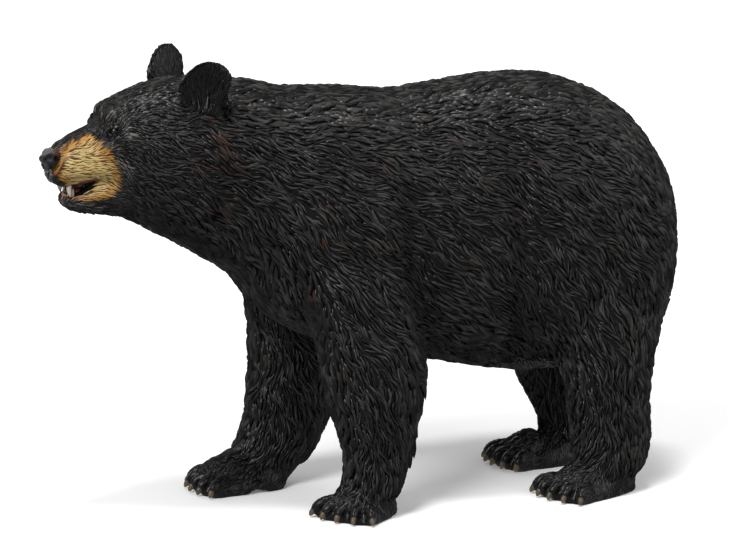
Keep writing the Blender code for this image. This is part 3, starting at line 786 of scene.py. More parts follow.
WAVES = np.array((  # a direction in space, one turn in this many mm, and its swing in degrees
    (0.9, 0.3, 0.4, 8.3, 8.0), (0.3, -0.5, 0.8, 4.9, 9.0), (-0.6, 0.7, 0.5, 3.6, 9.0),
    (0.2, 0.9, -0.5, 6.1, 8.0), (0.8, -0.2, -0.6, 2.7, 8.0), (0.5, 0.4, 0.9, 2.2, 5.0),
))


def pull(squares, width, faint):
    """How strongly a note counts, from squares of the distance to it."""
    return (np.exp(-squares / (2 * width ** 2)) + faint)[:, None]


def lie_of_coat(places, normals):
    """The direction of the fur as unit rows on the skin, in the bear's own three."""
    droop = np.zeros((len(places), 2))
    for ahead, *notes in DROOP:
        for height, degrees in notes:
            away = (places[:, 0] - ahead) ** 2 + (places[:, 2] - height) ** 2
            turned = np.array((math.cos(math.radians(degrees)), math.sin(math.radians(degrees))))
            droop += pull(away, 2.8, 1e-5 / (1 + away ** 2)) * turned
    droop = unit_rows(droop)
    flow = np.column_stack((-droop[:, 0], np.zeros(len(places)), -droop[:, 1]))
    left = folded(places)
    face_flow = np.zeros_like(flow)
    for note in FACE_LIE:
        away = ((left - note[:3]) ** 2).sum(axis=1)
        face_flow += pull(away, 1.8, 1e-4 / (1 + away)) * note[3:]
    share = regions(places)
    on_face = smoothstep(36, 39.5, places[:, 0])[:, None]
    flow = flow * (1 - on_face) + unit_rows(face_flow) * on_face
    fan = unit_rows(left - (28.6, 8.2, 58.0))  # out from the root of the ear
    ear = share["ear"][:, None]
    flow = flow * (1 - ear) + fan * ear
    flow[:, 1] *= np.where(places[:, 1] < 0, -1.0, 1.0)
    swing = np.zeros(len(places))
    for *axis, length, degrees in WAVES:
        phase = 2 * math.pi / length * (places @ unit(np.array(axis))) + 3 * length
        swing += math.radians(degrees) * np.sin(phase)
    swing *= 1 - 0.75 * share["ear"] - 0.5 * share["muzzle"]
    flow = unit_rows(flow - (flow * normals).sum(axis=1, keepdims=True) * normals)
    across = np.cross(normals, flow)
    return flow * np.cos(swing)[:, None] + across * np.sin(swing)[:, None]


print("coat directions:", len(DROOP), "columns and", len(FACE_LIE), "notes on the face")

# %% [markdown]
# ## Where the paint changes
# The painter's marks are worked out once, as numbers from 0 to 1 at any place, and stored on
# the skin's points and on every ridge. The tan patch is an outline seen from the side, with a
# depth in millimetres from its edge. The other marks are lines with a width. Among them is
# painted shade along the hollows, and the pale flecks carry painted highlights too.

# %% Marks of the face
PATCH_EDGE = np.array((
    (49.2, 55.6), (47.9, 56.6), (45.7, 57.6), (44.0, 58.3), (42.9, 58.5), (43.0, 57.7),
    (42.5, 56.9), (41.6, 56.4), (41.0, 55.3), (40.7, 53.9), (40.2, 52.4), (40.1, 50.9),
    (40.7, 49.7), (41.6, 48.8), (43.4, 48.4), (44.8, 48.2), (46.2, 48.5), (47.4, 48.7),
    (48.3, 50.9), (49.4, 52.8)))
MARKS = {  # each line of a mark: its width, then its places
    "dark_mark": (
        (1.0, (49.4, 0.0, 52.8), (48.8, 0.0, 51.4), (48.4, 0.8, 50.9)),
        (0.45, (49.3, 1.3, 52.5), (48.4, 1.9, 51.2)),
        (0.7, (47.8, 0.0, 48.4), (47.3, 1.2, 48.2)),
        (0.16, *UPPER_LIP), (0.20, *LOWER_LIP),
        (0.35, (49.4, 2.3, 55.6), (48.9, 3.0, 54.6), (48.9, 3.0, 53.2), (49.3, 2.0, 52.6)),
    ),
    "red_mark": (
        (0.75, (48.7, 1.9, 56.0), (48.4, 2.9, 55.2), (48.4, 3.2, 53.4), (48.6, 2.6, 52.2)),
        (0.6, (48.3, 2.1, 51.9), (47.7, 2.7, 51.3)),
        (0.8, (47.0, 1.2, 57.3), (45.0, 1.3, 58.0), (43.3, 1.8, 58.2)),
    ),
    # pale flecks of paint, and painted highlights on the crests round the eye, brow, cheek and jaw
    "pale_and_highlight_mark": (
        (0.55, (41.2, 5.4, 58.9)), (0.8, (39.3, 6.7, 59.2), (38.8, 7.0, 58.0)),
        (0.9, (39.6, 7.1, 53.4), (40.2, 6.7, 54.6)), (0.5, (41.0, 6.3, 56.6)),
        (0.5, (41.3, 0.4, 60.8)), (0.7, (40.4, 3.8, 61.0), (41.1, 3.0, 60.2)),
        (0.9, (46.8, 2.2, 48.4), (44.8, 3.2, 48.1), (43.0, 3.8, 47.8)),
    ),
    "warm_mark": (
        (1.9, (27.9, 9.9, 58.2), (25.4, 11.0, 54.5), (26.8, 11.3, 52.3)),
        (1.3, (30.4, 10.3, 55.4), (28.6, 10.9, 53.4)),
        (1.4, (24.9, 11.4, 49.3), (25.9, 10.6, 47.2)),
        (1.2, (27.2, 8.8, 60.4)), (0.9, (17.6, 13.4, 52.4)), (0.9, (11.5, 15.0, 47.2)),
        (0.9, (6.3, 16.2, 44.4)), (1.0, (12.6, 14.6, 41.7)), (1.1, (15.0, 13.8, 36.2)),
        (0.8, (2.2, 16.4, 48.0)), (0.8, (3.5, 16.4, 40.2)),
    ),
    # painted shade: the grey dry-brush is held back along the body's hollows, under the belly and
    # in the folds by the eyes
    "painted_shade_mark": (
        (3.4, (0.2, 16, 58), (-1.0, 16.5, 46), (-2.6, 16, 34), (-4, 14, 26)),
        (3.6, (-17, 13, 60), (-18.3, 17.3, 44), (-19.5, 15, 27), (-21, 10, 21)),
        (4.5, (-4, 9, 22), (-12, 8, 22)), (3.5, (12.5, 10.5, 38), (11.2, 12, 28)),
        (2.2, (24.9, 11.6, 61), (24.9, 12, 54), (26.8, 10.6, 46)), (3.0, (33, 6, 45), (26, 6, 40)),
        (1.0, (42.0, 2.0, 60.2), (42.7, 2.6, 58.4)), (0.9, (41.7, 3.1, 60.0), (42.4, 3.6, 57.8)),
        (1.3, (41.2, 5.0, 58.6)),
    ),
}


def patch_depth(places):
    """How far inside the tan patch a place is, in millimetres, and below zero outside it."""
    flat = places[:, (0, 2)]
    closed = np.concatenate((PATCH_EDGE, PATCH_EDGE[:1]))
    away = distance_to(closed, flat)
    inside = np.zeros(len(flat), bool)
    for start, end in zip(closed, closed[1:]):
        along = end - start
        level = (start[1] > flat[:, 1]) != (end[1] > flat[:, 1])
        climb = np.where(along[1] == 0, 1e-9, along[1])
        crossing = start[0] + (flat[:, 1] - start[1]) / climb * along[0]
        inside ^= level & (flat[:, 0] < crossing)
    depth = np.where(inside, away, -away)
    bridge = (1 - smoothstep(0.5, 1.4, np.abs(places[:, 1]))) * smoothstep(55.4, 56.6, places[:, 2])
    return np.clip(depth - 2.2 * bridge, -2, 3)


def line_share(places, lines):
    """The share of a mark made of lines, each with its own width."""
    share = np.zeros(len(places))
    for width, *line in lines:
        away = distance_to(line, folded(places))
        share = np.maximum(share, 1 - smoothstep(0.55 * width, 1.15 * width, away))
    return share


def inside_mouth(places):
    """Which places lie between the lips, ahead of the corner of the mouth."""
    forward, outward, up = folded(places).T
    upper, lower = np.array(UPPER_LIP)[::-1], np.array(LOWER_LIP)[::-1]
    wide = np.interp(forward, upper[:, 0], upper[:, 1]) - 0.35
    high = np.interp(forward, upper[:, 0], upper[:, 2]) + 1.0
    low = np.interp(forward, lower[:, 0], lower[:, 2]) - 0.1
    within = (outward < wide) & (up > low) & (up < high) & (up < 52.6)
    return within & (forward > 38) & (forward < 48.3)


def store_marks(mesh, places, each=1):
    """Stores every mark on a mesh, the same for each run of points that share a place."""
    store(mesh, "patch_depth", np.repeat(patch_depth(places), each))
    for name, lines in MARKS.items():
        store(mesh, name, np.repeat(line_share(places, lines), each))


# %% [markdown]
# ## Roots of the ridges
# A ridge starts at a random point of the skin, and no other may start too near it. The spacing
# is close on the face and wide on the body. The skin's own points, in a shuffled order, are the
# candidates, and each one kept rules out the points around it.

# %% Spread the roots
random = np.random.default_rng(7)
skin_points, skin_normals, skin_places = read(skin)
skin_share = regions(skin_places)
spacing = relief("spacing", skin_share) * MM


def spread(points, spacing, allowed):
    """Indices of points no nearer to each other than their own spacing, in metres."""
    tree = KDTree(len(points))
    for index, point in enumerate(points):
        tree.insert(point, index)
    tree.balance()
    free = allowed.copy()
    kept = []
    for index in random.permutation(len(points)):
        if free[index]:
            kept.append(index)
            for _, near, _ in tree.find_range(points[index], spacing[index]):
                free[near] = False
    return np.array(kept)


forward, outward, up = folded(skin_places).T
furry = (up > 0.8) & ~((up < 2.0) & (skin_normals[:, 2] < -0.6))  # the soles are bare
furry &= ~inside_mouth(skin_places)
furry &= ~((forward > 48.2) & (outward < 1.5) & (up < 53.2))  # and so is the groove of the lip
bare_spots = [(EYE[word], 0.85) for word in SIDES]
bare_spots += [(in_millimetres(claw_middle), 1.3) for _, claw_middle in TOES.values()]
for middle, radius in bare_spots:
    furry &= np.linalg.norm(skin_places - middle, axis=1) > radius
roots = spread(skin_points, spacing, furry)
print("roots:", len(roots))

# %% [markdown]
# ## Ridges
# Each ridge is a closed sliver with a sharp back: two edges sunk in the skin and one crest. It
# follows the lie of the coat in short steps, swells in the middle, and lifts a little at its
# tip so that it overlaps the next. All are computed together, because there are tens of
# thousands, and each has only a few dozen faces.

# %% Trace and shape the ridges
STEPS = 7  # from root to tip
RINGS = STEPS - 1  # between the two end points
FLOOR_GAP = 0.03 * MM
skin_tree = BVHTree.FromObject(skin, bpy.context.evaluated_depsgraph_get())


def on_skin(points):
    found = [skin_tree.find_nearest(point)[:2] for point in points]
    return np.array([hit for hit, _ in found]), np.array([normal for _, normal in found])


def trace(starts, lengths, turn, bend):
    """Paths over the skin: points, normals and directions, each as ridges x rings x 3."""
    path, normal, direction = [], [], []
    here, up = on_skin(starts)
    for step in range(STEPS + 1):
        along = world_axes(lie_of_coat(local(here), bear_axes(up)))
        angle = turn + bend * (step / STEPS - 0.5)
        along = along * np.cos(angle)[:, None] + np.cross(up, along) * np.sin(angle)[:, None]
        path.append(here)
        normal.append(up)
        direction.append(along)
        here, up = on_skin(here + along * (lengths / STEPS)[:, None])
    return (np.stack(rows, axis=1) for rows in (path, normal, direction))


# A ridge is widest a little before its middle and highest a little after it.
share_along = np.linspace(0, 1, STEPS + 1)
swell = np.sin(math.pi * share_along ** 0.85) ** 0.75
rise = np.sin(math.pi * share_along ** 1.25) ** 0.8
inner = slice(1, STEPS)


def grow(starts, share, fringe, back_off=0.0):
    """Ridges from these starts: their points, their half widths and their paths."""
    many = len(starts)  # no two ridges have the same measures
    length = relief("length", share) + 0.9 * fringe
    length *= random.uniform(0.7, 1.3, many)
    half_width = relief("half_width", share) * random.uniform(0.8, 1.25, many)
    height = relief("height", share) * random.uniform(0.7, 1.25, many)
    tip_lift = relief("tip_lift", share) + fringe * (0.15 + 0.95 * random.random(many) ** 3)
    if back_off:
        here, up = on_skin(starts)
        along = world_axes(lie_of_coat(local(here), bear_axes(up)))
        starts = here - along * (length * back_off * MM)[:, None]
    turn = np.radians(random.normal(0, 8, many))
    bend = np.radians(random.normal(0, 24, many))
    paths, ups, alongs = trace(starts, length * MM, turn, bend)
    across = np.cross(ups, alongs)
    lifted = paths + ups * (tip_lift[:, None] * share_along ** 2)[:, :, None] * MM
    sunk = lifted - ups * (0.10 + 0.3 * height)[:, None, None] * MM  # edges lie in the skin
    out = across * (half_width[:, None] * swell)[:, :, None] * MM
    crest = lifted + ups * (height[:, None] * rise)[:, :, None] * MM
    ring = np.stack((sunk - out, crest, sunk + out), axis=2)[:, inner]
    ends = np.stack((sunk[:, 0], lifted[:, -1] + ups[:, -1] * 0.04 * MM), axis=1)
    made = np.concatenate((ring.reshape(many, -1, 3), ends), axis=1)
    made[:, :, 2] = np.maximum(made[:, :, 2], FLOOR_GAP)  # nothing reaches below the floor
    return made, half_width, paths


def share_of(chosen):
    return {region: share[chosen] for region, share in skin_share.items()}


# Behind the forelegs, and a little under the belly, the tufts stand away from the body.
faces_back = smoothstep(0.35, 0.85, skin_normals[:, 1])
faces_down = smoothstep(0.5, 0.95, -skin_normals[:, 2])
foreleg = (forward > -8) & (up < 33) & (up > 1.5)
FRINGE = faces_back * foreleg + 0.35 * faces_down * (up > 12)
FRINGE *= smoothstep(4.5, 10.0, up)
FRINGE = np.maximum(FRINGE, 0.35 * faces_back * skin_share["ear"])
ridge_points, widths, paths = grow(skin_points[roots], share_of(roots), FRINGE[roots])
print("ridges:", len(roots), "with", ridge_points.shape[1], "points each")

# %% Fill what they leave bare
COVERED = 1.05  # half widths around its middle line that a ridge covers
CLOSER = 0.8  # of the first spacing
covered = KDTree(len(paths) * RINGS)
for index, point in enumerate(paths[:, inner].reshape(-1, 3)):
    covered.insert(point, index)
covered.balance()
bare = furry.copy()
for index in np.flatnonzero(furry):
    _, nearest, away = covered.find(skin_points[index])
    bare[index] = away > COVERED * widths[nearest // RINGS] * MM
fillers = spread(skin_points, CLOSER * spacing, bare)
more_points, _, _ = grow(
    skin_points[fillers], share_of(fillers), FRINGE[fillers], back_off=0.45)
ridge_points = np.concatenate((ridge_points, more_points))
roots = np.concatenate((roots, fillers))
print("fillers:", len(fillers))

# %% [markdown]
# ## Pieces of the coat
# One mesh per part of the body keeps each piece light. Every point stores how near it is to a
# crest, for the paint that catches there, one random tint per ridge, and the painter's marks.
# In the bake map every ridge is a tiny patch at the place of its root on the skin's own unwrap.

# %% Unwrap the skin
weigh("coarse", 1 - np.clip(skin_share["face"] + skin_share["ear"], 0, 1))
apply_modifier(skin, "DECIMATE", ratio=0.24, vertex_group="coarse")
select_only(skin)
bpy.ops.object.mode_set(mode="EDIT")
bpy.ops.mesh.select_all(action="SELECT")
bpy.ops.uv.smart_project(angle_limit=math.radians(66), island_margin=0.002)
bpy.ops.object.mode_set(mode="OBJECT")
skin.data.uv_layers[0].name = "OFBake"
bpy.ops.object.shade_smooth()
print("skin:", len(skin.data.polygons), "faces")

# %% Build the ridges as meshes
def root_patches(starts):
    """The skin's own map coordinates under each root."""
    mesh = skin.data
    mesh.calc_loop_triangles()
    tree = BVHTree.FromObject(skin, bpy.context.evaluated_depsgraph_get())
    chart = np.empty(len(mesh.loops) * 2, np.float32)
    mesh.uv_layers["OFBake"].uv.foreach_get("vector", chart)
    chart = chart.reshape(-1, 2)
    first_corner = np.empty(len(mesh.polygons), np.int32)
    mesh.polygons.foreach_get("loop_start", first_corner)
    corner = first_corner[[tree.find_nearest(start)[2] for start in starts]]
    return (chart[corner] + chart[corner + 1] + chart[corner + 2]) / 3


def ridge_faces():
    """Corners of one ridge: a band of quads between rings, and three triangles at each end."""
    first, last, tail_ring = 3 * RINGS, 3 * RINGS + 1, 3 * (RINGS - 1)
    around = ((0, 1), (1, 2), (2, 0))
    quads = [
        (k + a, k + b, k + 3 + b, k + 3 + a) for k in range(0, tail_ring, 3) for a, b in around]
    triangles = [(first, b, a) for a, b in around]
    triangles += [(last, tail_ring + a, tail_ring + b) for a, b in around]
    return quads + triangles


RIDGE_FACES = ridge_faces()
PATCH = 0.003  # the side of a ridge's patch in the bake map
MARK_RING = 2  # the painter's marks are read at the crest of this ring


def ridge_mesh(name, chosen, patches):
    """One mesh of the chosen ridges, with its paint numbers and its bake map."""
    count, points_each = len(chosen), ridge_points.shape[1]
    corners = [corner for face in RIDGE_FACES for corner in face]
    sizes = [len(face) for face in RIDGE_FACES]
    starts = np.concatenate(([0], np.cumsum(sizes)[:-1]))
    base = (np.arange(count) * points_each)[:, None]
    mesh = bpy.data.meshes.new(name)
    mesh.vertices.add(count * points_each)
    mesh.vertices.foreach_set("co", ridge_points[chosen].astype(np.float32).ravel())
    mesh.loops.add(count * len(corners))
    mesh.loops.foreach_set("vertex_index", (base + corners).astype(np.int32).ravel())
    mesh.polygons.add(count * len(sizes))
    offsets = (np.arange(count) * len(corners))[:, None]
    mesh.polygons.foreach_set("loop_start", (offsets + starts).astype(np.int32).ravel())
    mesh.polygons.foreach_set("use_smooth", np.ones(count * len(sizes), bool))
    mesh.update(calc_edges=True)
    one_crest = np.zeros(points_each, np.float32)
    one_crest[1:3 * RINGS:3] = rise[inner]
    store(mesh, "crest", np.tile(one_crest, count))
    store(mesh, "tint", np.repeat(random.random(count), points_each))
    strayed = mark_places[chosen] + random.normal(0, 0.12, (count, 3))
    store_marks(mesh, strayed, points_each)
    along = np.concatenate((np.repeat(share_along[inner], 3), (0, 1)))
    sideways = np.concatenate((np.tile((0, 0.5, 1), RINGS), (0.5, 0.5)))
    patch = (np.column_stack((sideways, along)) - 0.5) * PATCH
    chart = patches[chosen][:, None, :] + patch[corners][None]
    layer = mesh.uv_layers.new(name="OFBake")
    layer.uv.foreach_set("vector", np.clip(chart, 0, 1).astype(np.float32).ravel())
    made = linked(name, mesh)
    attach(made, "root")
    return made


patches = root_patches(skin_points[roots])
mark_places = local(ridge_points[:, 3 * MARK_RING + 1])
forward, outward, up = skin_places[roots].T
areas = {}
for word, side in SIDES.items():
    here = outward * side >= 0
    areas[f"coat_head_{word}"] = here & (forward <= 35.5) & (forward > 21.5) & (up > 40)
    areas[f"coat_face_{word}"] = here & (forward > 35.5)
    areas[f"coat_foreleg_{word}"] = here & (forward > -8) & (forward <= 30) & (up <= 30)
    areas[f"coat_hindleg_{word}"] = here & (forward <= -8) & (up <= 27)
rest = ~np.logical_or.reduce(list(areas.values()))
for word, side in SIDES.items():
    here = rest & (outward * side >= 0)
    areas[f"coat_shoulder_{word}"] = here & (forward > -3)
    areas[f"coat_flank_{word}"] = here & (forward <= -3) & (forward > -26)
    areas[f"coat_rump_{word}"] = here & (forward <= -26)
COAT = [ridge_mesh(name, np.flatnonzero(area), patches) for name, area in areas.items()]
for piece in COAT:
    print(piece.name, len(piece.data.polygons), "faces")

# %% [markdown]
# ## Paint
# One material paints skin and ridges alike, so that no mark stops at the foot of a ridge. The
# black sits everywhere and a grey dry-brush only on the crests, brighter up on the back and head
# as a painted highlight, and held back low on the legs, over the ears and along the hollows as
# painted shade. Red-brown streaks warm neck and shoulder, pale flecks and painted highlights
# stand round the eye, and the muzzle is airbrushed tan.

# %% Marks on the skin
places = read(skin)[2]
store_marks(skin.data, places)
store(skin.data, "mouth_lining", inside_mouth(places))
print("marks:", ", ".join(["patch_depth", *MARKS, "mouth_lining"]))

# %% Black and grey of the coat
vinyl = Shader("painted_vinyl", Roughness=0.26, Specular_IOR_Level=0.22)
raw, forward, outward, up = vinyl.position()
crest_share, tint = vinyl.attribute("crest"), vinyl.attribute("tint")
broad = vinyl.noise(raw, 90.0, 3.0)
fine = vinyl.noise(raw, 900.0, 2.0)
patchy = vinyl.noise(raw, 260.0, 3.0)
# Painted shade: over the ears the grey dry-brush is dimmed, for the shade in their hollows.
ear_shade = vinyl.step(59.5, 61.0, up) * vinyl.step(31.9, 31.0, forward)
ear_shade = ear_shade * vinyl.step(3.6, 4.4, outward) * vinyl.step(23.0, 24.2, forward)
# Painted light: higher up the grey crest lines are brighter and finer, a painted highlight on the
# back and head, and low on the legs they are dimmer, a painted shade.
high = vinyl.step(44.0, 63.0, up)
low = vinyl.step(24.0, 8.0, up)
# Painted shade: along the hollows, under the belly and in the folds by the eyes, less grey is
# brushed on.
painted_shade = vinyl.attribute("painted_shade_mark")
drybrush_with_painted_light = crest_share.power(2.4 + high * 2.6) * (0.97 + high * 0.36) * (1 - low * 0.36) + 0.02
drybrush_with_painted_light = drybrush_with_painted_light * (broad * 1.2 + 0.30) * (tint * 1.6 + 0.15) * (1 - painted_shade * 0.6)
black = vinyl.mix(fine, (0.0034, 0.0034, 0.0034), (0.0066, 0.0064, 0.0063))
grey = vinyl.mix(tint, (0.026, 0.0253, 0.0245), (0.070, 0.068, 0.066))
grey = vinyl.mix(ear_shade * 0.75, grey, (0.014, 0.0145, 0.0142))
coat_paint = vinyl.mix(drybrush_with_painted_light.clamp(), black, grey)
rust = vinyl.mix(crest_share.power(1.6), (0.0055, 0.0042, 0.0038), (0.078, 0.037, 0.026))
scattered = vinyl.step(0.58, 0.70, patchy) * vinyl.step(0.50, 0.80, tint) * 0.45
streaks = vinyl.attribute("warm_mark") * vinyl.step(0.40, 0.62, patchy)
streaks = streaks * vinyl.step(0.1, 0.6, tint) * 0.85 + scattered
coat_paint = vinyl.mix(streaks.clamp(), coat_paint, rust)
# Pale flecks, partly paint and partly painted highlights on the crests round the eye, brow, cheek
# and jaw.
pale = vinyl.mix(tint, (0.07, 0.066, 0.060), (0.28, 0.26, 0.23))
flecks_and_highlights = vinyl.attribute("pale_and_highlight_mark") * crest_share.power(1.4) * vinyl.step(0.30, 0.75, tint)
coat_paint = vinyl.mix(flecks_and_highlights, coat_paint, pale)

# %% Tan of the muzzle
depth = vinyl.attribute("patch_depth") + (fine - 0.5) * 0.5
core = vinyl.step(0.5, 2.2, depth + (patchy - 0.5) * 1.6) * (1 - vinyl.attribute("red_mark") * 0.9)
ochre = vinyl.mix(patchy, (0.29, 0.112, 0.020), (0.54, 0.300, 0.070))
cream = vinyl.mix(patchy, (0.52, 0.35, 0.115), (0.74, 0.58, 0.265))
tan = vinyl.mix(core, ochre, cream)
tan = vinyl.mix(vinyl.attribute("red_mark") * 0.8, tan, (0.15, 0.036, 0.014))
groove = vinyl.mix(core, (0.055, 0.018, 0.007), (0.085, 0.041, 0.014))
tan = vinyl.mix((crest_share * 1.35 + tint * 0.22 - 0.06).clamp(), groove, tan)
painted = vinyl.mix(vinyl.step(0.15, 0.60, depth), coat_paint, tan)
mauve = vinyl.mix(fine, (0.010, 0.0065, 0.0065), (0.036, 0.025, 0.025))
painted = vinyl.mix(vinyl.attribute("dark_mark") * 0.92, painted, mauve)
wet_dark = vinyl.mix(vinyl.step(50.2, 51.4, up), (0.008, 0.007, 0.006), (0.075, 0.017, 0.012))
painted = vinyl.mix(vinyl.attribute("mouth_lining"), painted, wet_dark)
vinyl.link(painted, "Base Color")
vinyl.bump(fine, 0.00006, 0.5)
for piece in COAT + [skin]:
    piece.data.materials.append(vinyl.material)
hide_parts(*FLESH)
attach(skin, "root")

# %% [markdown]
# ## Claws and teeth
# A claw is a short thick cone that curls down, and a canine is a thinner one. Both start as a
# disc that is extruded in steps, each step narrower and turned a little further, as one would
# do by hand. One is modelled of each kind, and every copy has its own mesh.

# %% A curled cone
CONE_STEPS, CONE_SIDES = 6, 12
TIP = 0.12  # share of the radius


def curled_cone(name, radius, length, curl, flatten=1.0, blunt=2.0):
    """A closed cone from the origin along +Z that curls towards +X."""
    bpy.ops.mesh.primitive_circle_add(
        vertices=CONE_SIDES, radius=radius * MM, fill_type="NGON", location=(0, 0, 0))
    made = bpy.context.object
    made.name = name
    bpy.ops.object.mode_set(mode="EDIT")
    bpy.ops.mesh.select_all(action="SELECT")
    centre = Vector((0, 0, 0))
    turn = math.radians(curl) / CONE_STEPS
    shares = [step / CONE_STEPS for step in range(CONE_STEPS + 1)]
    widths = [max((1 - share ** blunt) ** 0.6, TIP) for share in shares]
    for step, (before, after) in enumerate(zip(widths, widths[1:])):
        angle = turn * (step + 0.5)
        move = Vector((math.sin(angle), 0, math.cos(angle))) * length * MM / CONE_STEPS
        bpy.ops.mesh.extrude_region_move(TRANSFORM_OT_translate={"value": move})
        centre += move
        bpy.ops.transform.resize(value=(after / before,) * 3, center_override=centre)
        bpy.ops.transform.rotate(value=-turn, orient_axis="Y", center_override=centre)
    bpy.ops.mesh.select_all(action="SELECT")
    bpy.ops.mesh.normals_make_consistent(inside=False)
    bpy.ops.transform.resize(value=(1, flatten, 1), center_override=(0, 0, 0))
    bpy.ops.object.mode_set(mode="OBJECT")
    apply_modifier(made, "SUBSURF", levels=1, render_levels=1)
    bpy.ops.object.shade_smooth()
    return made


def placed(name, pattern, origin, along, towards, size=1.0):
    """A copy of a pattern with its +Z laid along one direction and its +X towards another."""
    along = along.normalized()
    towards = (towards - towards.dot(along) * along).normalized()
    axes = Matrix((towards, along.cross(towards), along)).transposed()
    copy = linked(name, pattern.data.copy())
    copy.data.transform(Matrix.Translation(origin) @ axes.to_4x4() @ Matrix.Scale(size, 4))
    return copy


claw_pattern = curled_cone("claw_pattern", 0.55, 1.75, 48, flatten=0.86, blunt=3.2)
print("claw:", len(claw_pattern.data.polygons), "faces")

# %% Horn of the claws
horn = Shader("claw_horn", Roughness=0.38)
raw, _, _, up = horn.position()
dirt = horn.noise(raw, 1500.0, 3.0)
streak = horn.noise(raw, 600.0, 2.0)
worn = horn.step(0.2, 1.6, up + (streak - 0.5) * 0.9)
base = horn.mix(worn, (0.150, 0.102, 0.055), (0.050, 0.034, 0.023))
horn.link(horn.mix(horn.step(0.52, 0.70, dirt) * 0.8, base, (0.03, 0.024, 0.02)), "Base Color")
horn.bump(streak, 0.00005, 0.6)

# %% Set a claw in every toe
for node, (heading, _) in TOES.items():
    root = behind(node, 0.80, 1.42)
    ahead = heading * 0.90 + Vector((0, 0, -0.36))
    claw = placed(f"horn_{node}", claw_pattern, root, ahead, Vector((0, 0, -1)))
    claw.data.materials.append(horn.material)
    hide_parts(node)
    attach(claw, "root")
bpy.data.objects.remove(claw_pattern)
print("claws:", len(TOES))

# %% Teeth
enamel = Shader("tooth_enamel", Roughness=0.28)
raw, _, _, up = enamel.position()
stain = enamel.noise(raw, 700.0, 3.0)
root_side = enamel.step(0.55, 1.25, abs(up - 50.0))
ivory = enamel.mix(stain, (0.50, 0.42, 0.36), (0.64, 0.58, 0.53))
enamel.link(enamel.mix(root_side * 0.75, ivory, (0.36, 0.155, 0.12)), "Base Color")
enamel.bump(stain, 0.00003, 0.4)

canine = curled_cone("canine", 0.44, 2.3, 22)
incisor = curled_cone("incisor", 0.30, 1.35, 8, flatten=0.75)
TEETH = {
    # which way they point, then for each its pattern, root, lean ahead and outward, and size
    "teeth_upper": (
        -1, (canine, (46.85, 2.30, 51.1), (0.10, 0.02), 0.98),
        (incisor, (47.55, 0.28, 50.75), (0.1, 0.0), 0.62),
        (incisor, (47.5, 0.76, 50.75), (0.1, 0.0), 0.62),
        (incisor, (47.3, 1.26, 50.8), (0.1, 0.0), 0.74)),
    "teeth_lower": (
        1, (canine, (46.2, 1.80, 48.3), (0.16, 0.10), 0.82),
        (incisor, (46.95, 0.24, 48.45), (0.1, 0.0), 0.55),
        (incisor, (46.9, 0.66, 48.45), (0.1, 0.0), 0.55),
        (incisor, (46.7, 1.10, 48.45), (0.1, 0.05), 0.62)),
}
for name, (points_to, *teeth) in TEETH.items():
    made = []
    for side in SIDES.values():
        for pattern, root, (ahead, aside), size in teeth:
            along = Vector((side * aside, -ahead, points_to))
            made.append(placed(name, pattern, at(*root, side), along, Vector((0, 1, 0)), size))
    row = joined(made)
    row.data.materials.append(enamel.material)
    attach(row, "root")
    print(name, "of", len(made), "teeth")
for pattern in (canine, incisor):
    bpy.data.objects.remove(pattern)

# %% [markdown]
# ## Mouth
# Gums run round inside the lips as soft tubes, and the tongue lies between the lower ones as a
# flattened lump with a furrow down its middle.

# %% Gums
wet = Shader("painted_mouth", Roughness=0.30)
raw, forward, _, _ = wet.position()
blotch = wet.noise(raw, 800.0, 3.0)
red = wet.mix(blotch, (0.075, 0.014, 0.010), (0.17, 0.036, 0.026))
# Towards the back of the mouth the gums fade to near-black, a painted shade in the corner of the
# mouth.
wet.link(wet.mix(wet.step(43.2, 41.8, forward), red, (0.02, 0.01, 0.01)), "Base Color")
wet.bump(blotch, 0.00006, 0.6)


def soft_tube(name, line, radius):
    """A closed tube along both sides of a mirrored line."""
    curve = bpy.data.curves.new(name, "CURVE")
    curve.dimensions = "3D"
    curve.bevel_depth = radius * MM
    curve.bevel_resolution = 4
    curve.use_fill_caps = True
    spline = curve.splines.new("NURBS")
    whole = [at(*spot, -1) for spot in reversed(line)] + [at(*spot) for spot in line[1:]]
    spline.points.add(len(whole) - 1)
    for point, place in zip(spline.points, whole):
        point.co = (*place, 1)
    spline.use_endpoint_u = True
    spline.order_u = 4
    made = linked(name, curve)
    select_only(made)
    bpy.ops.object.convert(target="MESH")
    bpy.ops.object.shade_smooth()
    return made


GUMS = {
    # its radius, then its places
    "gum_upper": (0.62, (47.9, 0.0, 51.0), (47.6, 1.4, 51.0), (46.6, 2.3, 51.2),
                  (44.8, 2.9, 51.45), (43.3, 3.3, 51.9), (42.2, 3.4, 52.4)),
    "gum_lower": (0.40, (47.0, 0.0, 48.3), (46.7, 1.3, 48.3), (45.8, 2.0, 48.5),
                  (44.4, 2.5, 49.0), (43.2, 3.0, 49.7), (42.2, 3.2, 50.6)),
}
for name, (radius, *line) in GUMS.items():
    gum = soft_tube(name, line, radius)
    gum.data.materials.append(wet.material)
    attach(gum, "root")
print("gums:", len(GUMS))

# %% Tongue
tongue = ellipsoid(at(44.6, 0, 49.55), (1.75, 2.5, 0.62), 40, 24)
tongue.name = "tongue_painted"
sculpt(tongue, ((-0.30, 0.35, (47.2, 0, 50.1), (44.5, 0, 50.25), (42.5, 0, 50.1)),
                (0.12, 0.6, (46.6, 0.9, 50.0), (44.5, 1.1, 50.1))))
bpy.ops.object.shade_smooth()
tongue.data.materials.append(wet.material)
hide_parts("tongue")
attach(tongue, "root")
print("tongue:", len(tongue.data.polygons), "faces")
